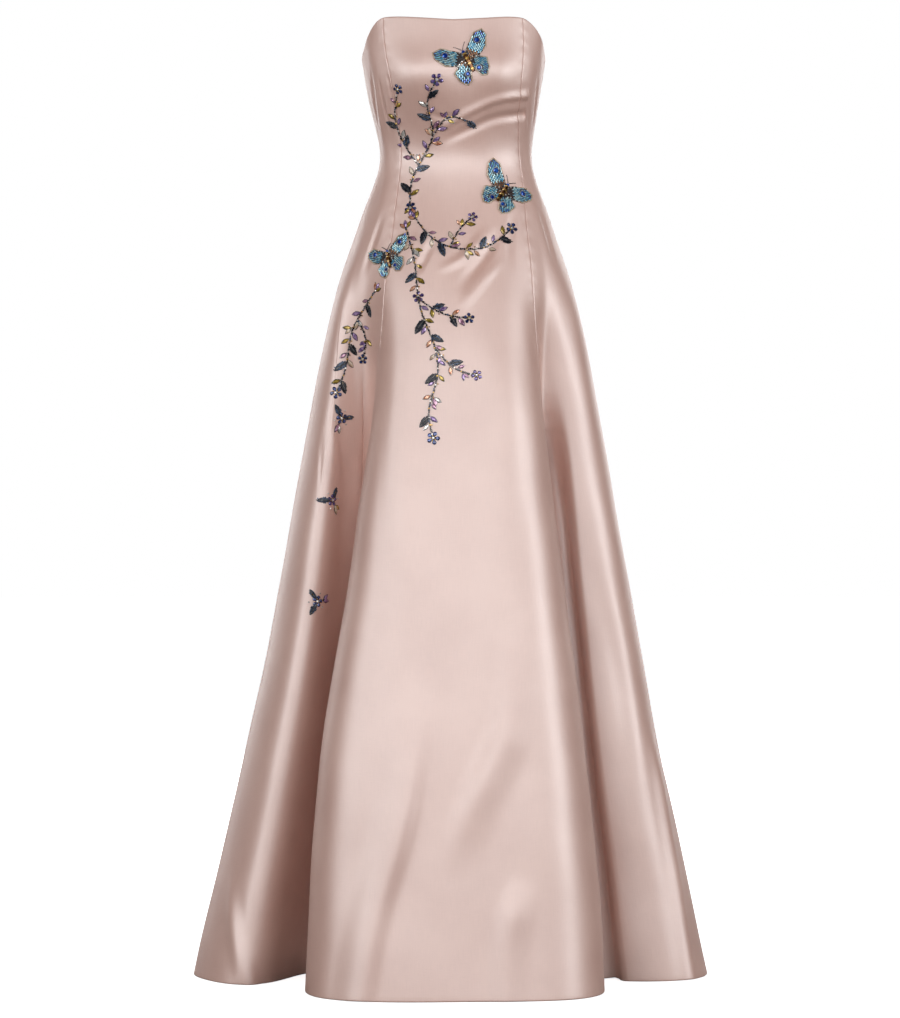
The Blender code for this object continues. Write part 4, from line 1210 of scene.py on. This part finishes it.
    def backing(self, frame, rings):
        """The stiff dark backing under a wing, laid along the cloth."""
        top = [self.landed(frame, across, up) for ring in rings for across, up in ring]
        faces = []
        wide = len(rings[0])
        for level in range(len(rings) - 1):
            for n in range(wide):
                after = (n + 1) % wide
                low, high = level * wide, (level + 1) * wide
                faces.append((low + n, low + after, high + after, high + n))
        faces.append(tuple(range((len(rings) - 1) * wide, len(rings) * wide)))
        count = len(top)
        points = [place + normal * 0.0012 for place, normal in top]
        points += [place + normal * 0.0002 for place, normal in top]
        under = [tuple(n + count for n in face[::-1]) for face in faces]
        rim = [(n, n + count, (n + 1) % wide + count, (n + 1) % wide) for n in range(wide)]
        name = f"backing_{len(SHAPES)}"
        SHAPES[name] = np.array(points), faces + under + rim
        self.copies.append((name, "dark_thread", np.eye(3), np.zeros(3)))

    def body(self, frame, size):
        """The butterfly's body: a line of bronze beads, a blue head and two fine feelers."""
        for number, up in enumerate(np.linspace(-0.016, 0.011, 11) * size):
            wide = (0.0054 + 0.0028 * math.sin(math.pi * (number + 1) / 13)) * size
            finish = "gold" if number % 3 == 1 else "bronze"
            self.sew("round_stone", finish, frame, 0, up, (wide, wide * 0.8, wide), 0, 0.0012)
        head = 0.0056 * size
        self.sew("round_stone", "royal", frame, 0, 0.0145 * size, (head, head, head), 0, 0.0010)
        for side in (-1, 1):
            for step in np.linspace(0.1, 1, 8):
                place = (side * 0.009 * step**1.3 * size, (0.0165 + 0.011 * step) * size)
                self.sew("seed", "jet", frame, *place, (0.0014,) * 3)

    def gather(self, name, node):
        """Joins all that was sewn into one piece, which stands for a node where one is named."""
        finishes = sorted({finish for _, finish, _, _ in self.copies})
        points, faces, slots, count = [], [], [], 0
        for shape, finish, axes, place in self.copies:
            base, polygons = SHAPES[shape]
            points.append(base @ axes.T + place)
            faces.extend([tuple(n + count for n in face) for face in polygons])
            slots.extend([finishes.index(finish)] * len(polygons))
            count += len(base)
        data = bpy.data.meshes.new(name)
        data.from_pydata(np.concatenate(points), [], faces)
        data.polygons.foreach_set("material_index", slots)
        for finish in finishes:
            data.materials.append(FINISHES[finish])
        obj = bpy.data.objects.new(name, data)
        bpy.context.scene.collection.objects.link(obj)
        mesh = bmesh.new()
        mesh.from_mesh(data)
        bmesh.ops.recalc_face_normals(mesh, faces=mesh.faces)
        mesh.to_mesh(data)
        mesh.free()
        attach(obj, "gown")
        if node:
            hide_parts(node)


def inside_outline(place, corners, margin):
    """Whether a place is inside a polygon by more than the margin."""
    after = np.roll(corners, -1, axis=0)
    crossing = (corners[:, 1] > place[1]) != (after[:, 1] > place[1])
    rise = np.where(after[:, 1] == corners[:, 1], 1e-9, after[:, 1] - corners[:, 1])
    meets = corners[:, 0] + (place[1] - corners[:, 1]) * (after[:, 0] - corners[:, 0]) / rise
    inside = np.count_nonzero(crossing & (place[0] < meets)) % 2 == 1
    edge = after - corners
    share = np.clip(((place - corners) * edge).sum(axis=1) / (edge**2).sum(axis=1), 0, 1)
    away = np.linalg.norm(place - corners - edge * share[:, None], axis=1).min()
    return inside and away > margin


def along_stem(points, shares):
    """Places (x, height) at these shares of the way along a smooth stem."""
    lengths = np.append(0, np.cumsum(np.linalg.norm(np.diff(points, axis=0), axis=1)))
    at = np.asarray(shares) * lengths[-1]
    return np.stack([spline_through(lengths, column(points, n), at) for n in (0, 1)], axis=-1)


def heading_on(points, share):
    """The turn, in degrees, of a piece that lies along the stem there."""
    nearby = [max(share - HEADING_STEP, 0), min(share + HEADING_STEP, 1)]
    before, after = along_stem(points, nearby)
    across, up = after - before
    return math.degrees(math.atan2(-across, up))


def sprays(tree):
    """The beaded sprays, each a main stem with its twigs, leaves, crystals and flowers."""
    for order, (name, main_points, twigs) in enumerate(STEMS):
        sewn = Embroidery(tree)
        stems = [main_points]
        for share, points in twigs:
            (fork,) = along_stem(main_points, [share])
            stems.append([tuple(fork), *points])
        taken = []
        for number, points in enumerate(stems):
            sewn.stem(points, number + 2 * order)
        for number, (owner, stem_number, share, turn, length) in enumerate(LEAVES):
            if owner != name:
                continue
            points = stems[stem_number]
            (place,) = along_stem(points, [share])
            taken.append((place, turn))
            frame = sewn.frame(*place, heading_on(points, share) + turn, length / 2)
            if number % 5 == 2 or length < SPRIG_BELOW:
                sewn.sprig(frame, length, number)
            else:
                sewn.leaf(frame, length, "slate" if number % 2 else "jet")
        for number, (owner, stem_number, share, turn, diameter) in enumerate(FLOWERS):
            if owner == name:
                points = stems[stem_number]
                (place,) = along_stem(points, [share])
                taken.append((place, 0))
                frame = sewn.frame(*place, heading_on(points, share) + turn, diameter / 2)
                sewn.flower(frame, diameter, number)
        bud = sewn.frame(*main_points[0], heading_on(main_points, 0.0) + 180, 0.006)
        for aside, turn, finish in BUD:
            sewn.crystal(finish, bud, aside, 0.0065 - abs(aside) * 0.5, 0.0052, 0.0112, turn)
        taken.append((np.array(main_points[0]), 0))
        for stem_number, points in enumerate(stems):
            length = np.linalg.norm(np.diff(points, axis=0), axis=1).sum()
            for number, share in enumerate(np.arange(0.05, 0.97, CRYSTAL_PITCH / length)):
                side = 1 if (number + stem_number) % 2 else -1
                (place,) = along_stem(points, [share])
                if any(
                    np.linalg.norm(place - spot) < CRYSTAL_ROOM and turn * side <= 0
                    for spot, turn in taken
                ):
                    continue
                batch = number + 2 * stem_number + order
                finish = CRYSTAL_FINISHES[batch % len(CRYSTAL_FINISHES)]
                frame = sewn.frame(*place, heading_on(points, share), 0.006)
                long = 0.0118 + 0.0016 * math.sin(number * 1.9 + order)
                wide = long * CRYSTAL_SHAPE
                sewn.crystal(finish, frame, side * CRYSTAL_ASIDE, 0.003, wide, long, -side * 48)
                if number % 2:
                    sewn.sew("seed", "gold", frame, -side * 0.0030, 0.001, (0.0023,) * 3)
        sewn.gather(name + "_beads", name)


def blossoms(tree):
    """The single flowers down the right side, each with its leaves."""
    for number, (name, x, height, turn, diameter) in enumerate(BLOSSOMS):
        sewn = Embroidery(tree)
        for step, (leaf_turn, length) in enumerate(BLOSSOM_LEAVES):
            frame = sewn.frame(x, height, turn + leaf_turn, length / 2)
            if step == 1:
                sewn.sprig(frame @ Matrix.Translation((0, 0.006, 0)), length, number + 3)
            else:
                sewn.leaf(frame @ Matrix.Translation((0, 0.004, 0)), length - 0.002, "slate")
        sewn.flower(sewn.frame(x, height, turn, diameter / 2), diameter, number)
        for step in range(5):
            frame = sewn.frame(x, height, turn + 95 + 58 * step, 0.008)
            sewn.sew("seed", "gold" if step % 2 else "clear", frame, 0, 0.0125, (0.0026,) * 3)
        sewn.gather(name + "_beads", name)


def butterflies(tree):
    """The beaded butterflies with their wings spread."""
    for name, x, height, turn, size in BUTTERFLIES:
        sewn = Embroidery(tree)
        frame = sewn.frame(x, height, turn, 0.030 * size)
        for row in WINGS:
            for side in (1, -1):
                sewn.wing(frame, *row, side, size)
        sewn.body(frame, size)
        sewn.gather(name + "_beads", name)


def zip_closure():
    """The zip inside the centre back: its woven tape, its coil and the stitches that hold it."""
    top = float(neckline(180.0))
    rows = np.arange(top, top - ZIP_LENGTH, -ZIP_ROW)
    seam = cloth_point(180.0, rows)
    out = outward(180.0, rows)
    seam = seam + out * crease_rise(np.full(len(rows), 180.0), seam, out)[:, None]
    left, right = (cloth_point(side * BESIDE_BACK_SEAM, rows) - seam for side in (1, -1))
    places = np.linspace(-1, 1, TAPE_COLUMNS + 1) * TAPE_WIDTH / 2
    strips = [
        seam + (left if place > 0 else right) * abs(place) / np.abs(left[:, :1])
        for place in places
    ]
    outer = np.stack(strips, axis=1) - (WALL + UNDER_LINING) * out[:, None]
    inner = outer - TAPE_THICKNESS * out[:, None]
    flat = np.stack(np.meshgrid(places, top - rows), axis=-1)
    # Woven nylon tape: closely ribbed and duller than the lining, its 0.3 mm ribs drawn 0.9 mm
    nylon = woven("nylon_zip_tape_woven", "#d8b3a7", "#c79f93", 0.55, 0.1, 0.0009)
    obj = walled_sheet("zip_tape", outer, inner, flat, (nylon, nylon), rows)
    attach(obj, "gown")
    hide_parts("zip_tape")
    sewn = Embroidery(None)
    middle = TAPE_COLUMNS // 2
    for height in np.arange(top - COIL_TOP_ROOM, top - ZIP_LENGTH + COIL_FOOT_ROOM, -COIL_PITCH):
        at = (top - height) / ZIP_ROW
        row = int(at)
        blend = at - row
        if row + 1 >= len(rows):
            break
        place = inner[row, middle] * (1 - blend) + inner[row + 1, middle] * blend
        axes = turned(out[row], (1, 0, 0)) * COIL_BEAD
        sewn.copies.append(("bugle", "coil", axes, place - out[row] * COIL_SUNK))
    for edge in (0, TAPE_COLUMNS):
        for row in range(1, len(rows) - 1):
            near = inner[row, edge] * (1 - STITCH_INSET) + inner[row, middle] * STITCH_INSET
            axes = turned(out[row], inner[row - 1, edge] - inner[row + 1, edge]) * TAPE_STITCH
            sewn.copies.append(("bugle", "thread", axes, near))
    sewn.gather("zip_coil_and_stitches", None)


def turned(up, along):
    """Axes of a bead as columns: right, along and up."""
    along = np.array(along, float)
    along = along - up * (along @ up)
    along /= np.linalg.norm(along)
    return np.array([np.cross(along, up), along, up]).T


def neckline_stitches():
    """The row of understitching inside the top edge that keeps the lining from rolling out."""
    sewn = Embroidery(None)
    threads = np.linspace(-STITCH_LAST_THREAD, STITCH_LAST_THREAD, STITCHES)
    heights = neckline(threads) - STITCH_DROP
    points = cloth_point(threads, heights)
    out = outward(threads, heights)
    rise = crease_rise(threads, points, out)
    points = points + out * (rise - WALL - STITCH_PROUD)[:, None]
    seams = np.array([FRONT_PRINCESS, SIDE, BACK_PRINCESS])
    for number in range(1, STITCHES - 1):
        if np.abs(abs(threads[number]) - seams).min() < STITCH_SEAM_ROOM:
            continue
        axes = turned(out[number], points[number + 1] - points[number - 1]) * STITCH_SIZE
        sewn.copies.append(("bugle", "thread", axes, points[number]))
    sewn.gather("neckline_understitching", None)


def glass(name, dark, light, metallic, roughness, transmission=0.0, coat=0.6):
    """A hard glossy finish, such as glass or plated brass: it flashes at each facet, and its
    colour shifts from bead to bead."""
    made, tree, output = new_material(name)
    place = add_node(tree, "ShaderNodeTexCoord")
    batch = add_node(
        tree,
        "ShaderNodeTexNoise",
        values={"Scale": 1 / BATCH_WIDTH, "Detail": 1.0},
        links={"Vector": place.outputs["Object"]},
    )
    colour = add_node(tree, "ShaderNodeValToRGB", links={"Fac": batch.outputs["Fac"]})
    for stop, position, shade in zip(colour.color_ramp.elements, (0.36, 0.64), (dark, light)):
        stop.position = position
        stop.color = linear(shade)
    polish = add_node(
        tree,
        "ShaderNodeMapRange",
        values={"To Min": roughness, "To Max": roughness + 0.12},
        links={"Value": batch.outputs["Fac"]},
    )
    shader = add_node(
        tree,
        "ShaderNodeBsdfPrincipled",
        values={
            "Metallic": metallic,
            "Coat Weight": coat,
            "Coat Roughness": 0.04,
            "Transmission Weight": transmission,
        },
        links={"Base Color": colour.outputs["Color"], "Roughness": polish.outputs["Result"]},
    )
    if metallic < METAL:
        shader.inputs["IOR"].default_value = GLASS_IOR
    tree.links.new(shader.outputs["BSDF"], output.inputs["Surface"])
    return made


BEAD_FINISHES = [
    # short name, material, dark colour, light colour, metallic, roughness, see-through
    # fire-polished glass: dark rounded facets with small soft glints
    ("jet", "jet_glass_fire_polished", "#12141b", "#272c3a", 0.25, 0.12, 0.0),
    ("slate", "slate_glass_fire_polished", "#263041", "#5b6c86", 0.45, 0.16, 0.0),
    # plated brass: grey and warm yellow metal that glints between the stones
    ("gunmetal", "gunmetal_brass_plated", "#4a484c", "#77736f", 0.95, 0.22, 0.0),
    ("gold", "gold_brass_plated_seed", "#8f6a2c", "#d9b56a", 0.90, 0.20, 0.0),
    # moulded glass: a soft pearly glow, and pale beads that let some of the cloth through
    ("grey", "grey_pearl_glass_moulded", "#8d929c", "#c3c6cc", 0.40, 0.20, 0.0),
    ("champagne", "champagne_glass_moulded", "#cdb093", "#efdfcb", 0.10, 0.10, 0.35),
    # cut crystal with foil behind it: sharp flashes, and colour thrown back from inside
    ("clear", "clear_crystal_foil_backed", "#b9b4ae", "#f1ede8", 0.45, 0.05, 0.0),
    ("lilac", "lilac_crystal_foil_backed", "#6f5487", "#b79bc4", 0.40, 0.07, 0.0),
    ("mauve", "mauve_crystal_foil_backed", "#7c5570", "#c495ab", 0.40, 0.07, 0.0),
    ("violet", "violet_crystal_foil_backed", "#3a2a5c", "#7d69a5", 0.40, 0.07, 0.0),
    ("navy", "navy_crystal_foil_backed", "#182149", "#46558c", 0.40, 0.07, 0.0),
    ("olive", "olive_crystal_foil_backed", "#7a6420", "#c2a64f", 0.50, 0.08, 0.0),
    ("peach", "peach_crystal_foil_backed", "#b87355", "#ecbb9c", 0.40, 0.07, 0.0),
    ("royal", "royal_blue_crystal_foil_backed", "#0b2a86", "#2f6fd6", 0.40, 0.05, 0.0),
    # coated glass: blue that shifts from bead to bead, and the bronze of old metal
    ("turquoise", "turquoise_glass_iris_coated", "#39a9d6", "#d6fbf8", 0.20, 0.12, 0.0),
    ("iris", "blue_glass_iris_coated", "#4a66dc", "#93e6f2", 0.25, 0.12, 0.0),
    ("bronze", "bronze_glass_metallic_coated", "#3f2413", "#8a5a2c", 0.85, 0.20, 0.0),
]


def bead_finishes():
    """One finish for each batch of beads and stones, for the zip's coil, and for threads."""
    for short, *finish in BEAD_FINISHES:
        FINISHES[short] = glass(*finish)
    # moulded polyester: duller than glass, in the cloth's own colour
    FINISHES["coil"] = glass(
        "polyester_zip_coil_moulded", "#b58d80", "#cfa79b", 0.0, 0.35, coat=0.1
    )
    FINISHES["thread"] = yarn("polyester_thread_blush_wound", "#c99f92", "#e2bdb1")
    FINISHES["dark_thread"] = yarn("polyester_thread_dark_wound", "#20242e", "#333a48")


def yarn(name, dark, light):
    """Wound polyester thread: fine ribs that catch a slight shine."""
    made, tree, output = new_material(name)
    place = add_node(tree, "ShaderNodeTexCoord")
    ribs = add_node(
        tree,
        "ShaderNodeTexWave",
        values={"Scale": WAVE_LENGTH / THREAD_PLY, "Distortion": 1.5, "Detail": 1.0},
        links={"Vector": place.outputs["Object"]},
    )
    colour = add_node(tree, "ShaderNodeValToRGB", links={"Fac": ribs.outputs["Fac"]})
    for stop, shade in zip(colour.color_ramp.elements, (dark, light)):
        stop.color = linear(shade)
    bump = add_node(
        tree,
        "ShaderNodeBump",
        values={"Strength": 0.5, "Distance": 0.0001},
        links={"Height": ribs.outputs["Fac"]},
    )
    shader = add_node(
        tree,
        "ShaderNodeBsdfPrincipled",
        values={"Roughness": 0.5, "Sheen Weight": 0.2},
        links={"Base Color": colour.outputs["Color"], "Normal": bump.outputs["Normal"]},
    )
    tree.links.new(shader.outputs["BSDF"], output.inputs["Surface"])
    return made


def worn_tree():
    """The outside of all the panels, for finding places on the cloth."""
    points, faces, count = [], [], 0
    for grid in WORN.values():
        high, wide = grid.shape[:2]
        number = np.arange(high * wide).reshape(high, wide) + count
        quads = [number[:-1, :-1], number[1:, :-1], number[1:, 1:], number[:-1, 1:]]
        faces.extend(np.stack(quads, axis=-1).reshape(-1, 4).tolist())
        points.extend(grid.reshape(-1, 3).tolist())
        count += high * wide
    return BVHTree.FromPolygons(points, faces)


# The camera stands where the photograph was taken from: its distance, height above the floor and
# turn round the gown, the picture's size, and where and how large the gown stands in it.
CAMERA_AWAY = 6.0
CAMERA_HEIGHT = 0.703
CAMERA_TURN = math.radians(-3.0)
IMAGE_WIDE, IMAGE_HIGH = 900, 1018
AXIS_PIXEL = 455.3
PIXELS_PER_METRE = 666.0
SENSOR = 36.0


def camera():
    """A level camera that frames the gown as the photograph does."""
    lens = bpy.data.cameras.new("photo_camera")
    lens.sensor_fit = "VERTICAL"
    lens.sensor_height = SENSOR
    lens.lens = SENSOR * PIXELS_PER_METRE * CAMERA_AWAY / IMAGE_HIGH
    lens.shift_x = -(AXIS_PIXEL - IMAGE_WIDE / 2) / IMAGE_HIGH
    obj = bpy.data.objects.new("photo_camera", lens)
    obj.location = (
        math.sin(CAMERA_TURN) * CAMERA_AWAY,
        -math.cos(CAMERA_TURN) * CAMERA_AWAY,
        CAMERA_HEIGHT - WAIST_HEIGHT,
    )
    obj.rotation_euler = (math.radians(90), 0, CAMERA_TURN)
    bpy.context.scene.collection.objects.link(obj)
    bpy.context.scene.camera = obj
    bpy.context.scene.view_settings.view_transform = "Standard"


SOFTBOXES = [
    # name, turn round the gown from its front, height above the waist, watts
    ("front_softbox", -4, 0.9, 70),
    ("front_right_softbox", -34, 0.8, 73),
    ("front_left_softbox", 24, 0.8, 62),
    ("right_softbox", -66, 0.5, 80),
    ("left_softbox", 64, 0.5, 118),
    ("back_softbox", 180, 0.8, 100),
    ("back_right_softbox", -150, 0.6, 72),
    ("back_left_softbox", 150, 0.6, 72),
]
SOFTBOX_AWAY = 5.2
SOFTBOX_SIZE = (2.1, 3.0)
SOFTBOX_AIM = Vector((0, 0, -0.5))

# The surround looks white and gives little light, and the floor lies just below the hem.
WORLD_LIGHT = 0.015
FLOOR_RADIUS = 26.0
FLOOR_BELOW = 0.0006
WHITE = (1, 1, 1, 1)


def studio():
    """Softboxes round the gown, a white surround and the floor."""
    for name, turn, height, watts in SOFTBOXES:
        light = bpy.data.lights.new(name, "AREA")
        light.shape = "RECTANGLE"
        light.size, light.size_y = SOFTBOX_SIZE
        light.energy = watts
        obj = bpy.data.objects.new(name, light)
        turn = math.radians(turn)
        place = Vector((math.sin(turn) * SOFTBOX_AWAY, -math.cos(turn) * SOFTBOX_AWAY, height))
        obj.location = place
        obj.rotation_euler = (SOFTBOX_AIM - place).to_track_quat("-Z", "Y").to_euler()
        bpy.context.scene.collection.objects.link(obj)
    world = bpy.data.worlds.new("white_surround")
    world.use_nodes = True
    tree = world.node_tree
    tree.nodes.clear()
    dim, bright = (
        add_node(tree, "ShaderNodeBackground", values={"Color": WHITE, "Strength": strength})
        for strength in (WORLD_LIGHT, 1.0)
    )
    seen = add_node(tree, "ShaderNodeLightPath")
    both = add_node(
        tree,
        "ShaderNodeMixShader",
        links={
            0: seen.outputs["Is Camera Ray"],
            1: dim.outputs["Background"],
            2: bright.outputs["Background"],
        },
    )
    add_node(tree, "ShaderNodeOutputWorld", links={"Surface": both.outputs["Shader"]})
    bpy.context.scene.world = world
    bpy.ops.mesh.primitive_circle_add(
        vertices=96,
        radius=FLOOR_RADIUS,
        fill_type="NGON",
        location=(0, 0, -WAIST_HEIGHT - FLOOR_BELOW),
    )
    floor = bpy.context.object
    floor.name = "studio_floor"
    bpy.ops.object.transform_apply(location=True)
    floor.data.materials.append(painted_floor())
    floor.visible_diffuse = False
    floor.visible_glossy = False


def main():
    """Dresses the model."""
    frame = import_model()
    bpy.ops.object.select_all(action="DESELECT")
    camera()
    # Woven mikado satin: long smooth floats over a heavy ground, which give each fold a broad
    # soft light that turns deep quickly. Its real threads, 0.2 mm apart, are too fine to show
    # and are drawn 1.2 mm apart.
    satin = woven(
        "mikado_satin_woven", "#d4ab9d", "#c69a8c", 0.49, 0.0, 0.0012, specular=1.0, ior=2.15
    )
    # Woven acetate lining: thin, plain and evenly sheeny, its 0.1 mm threads drawn 0.9 mm apart
    lining = woven("acetate_lining_woven", "#d6b4a8", "#cfab9f", 0.48, 0.1, 0.0009)
    for row in PANELS:
        panel(*row, satin, lining)
    bead_finishes()
    bead_shapes()
    tree = worn_tree()
    sprays(tree)
    blossoms(tree)
    butterflies(tree)
    zip_closure()
    neckline_stitches()
    # Cast zinc in a coat of blush enamel: smooth and softly glossy, with no bare metal
    enamel = glass("zinc_zip_slider_enamelled", "#b39086", "#c4a299", 0.0, 0.34, coat=0.25)
    for name in ("zip_slider", "zip_pull"):
        for place in frame["nodes"][name].material_slots:
            place.material = enamel
    studio()


main()
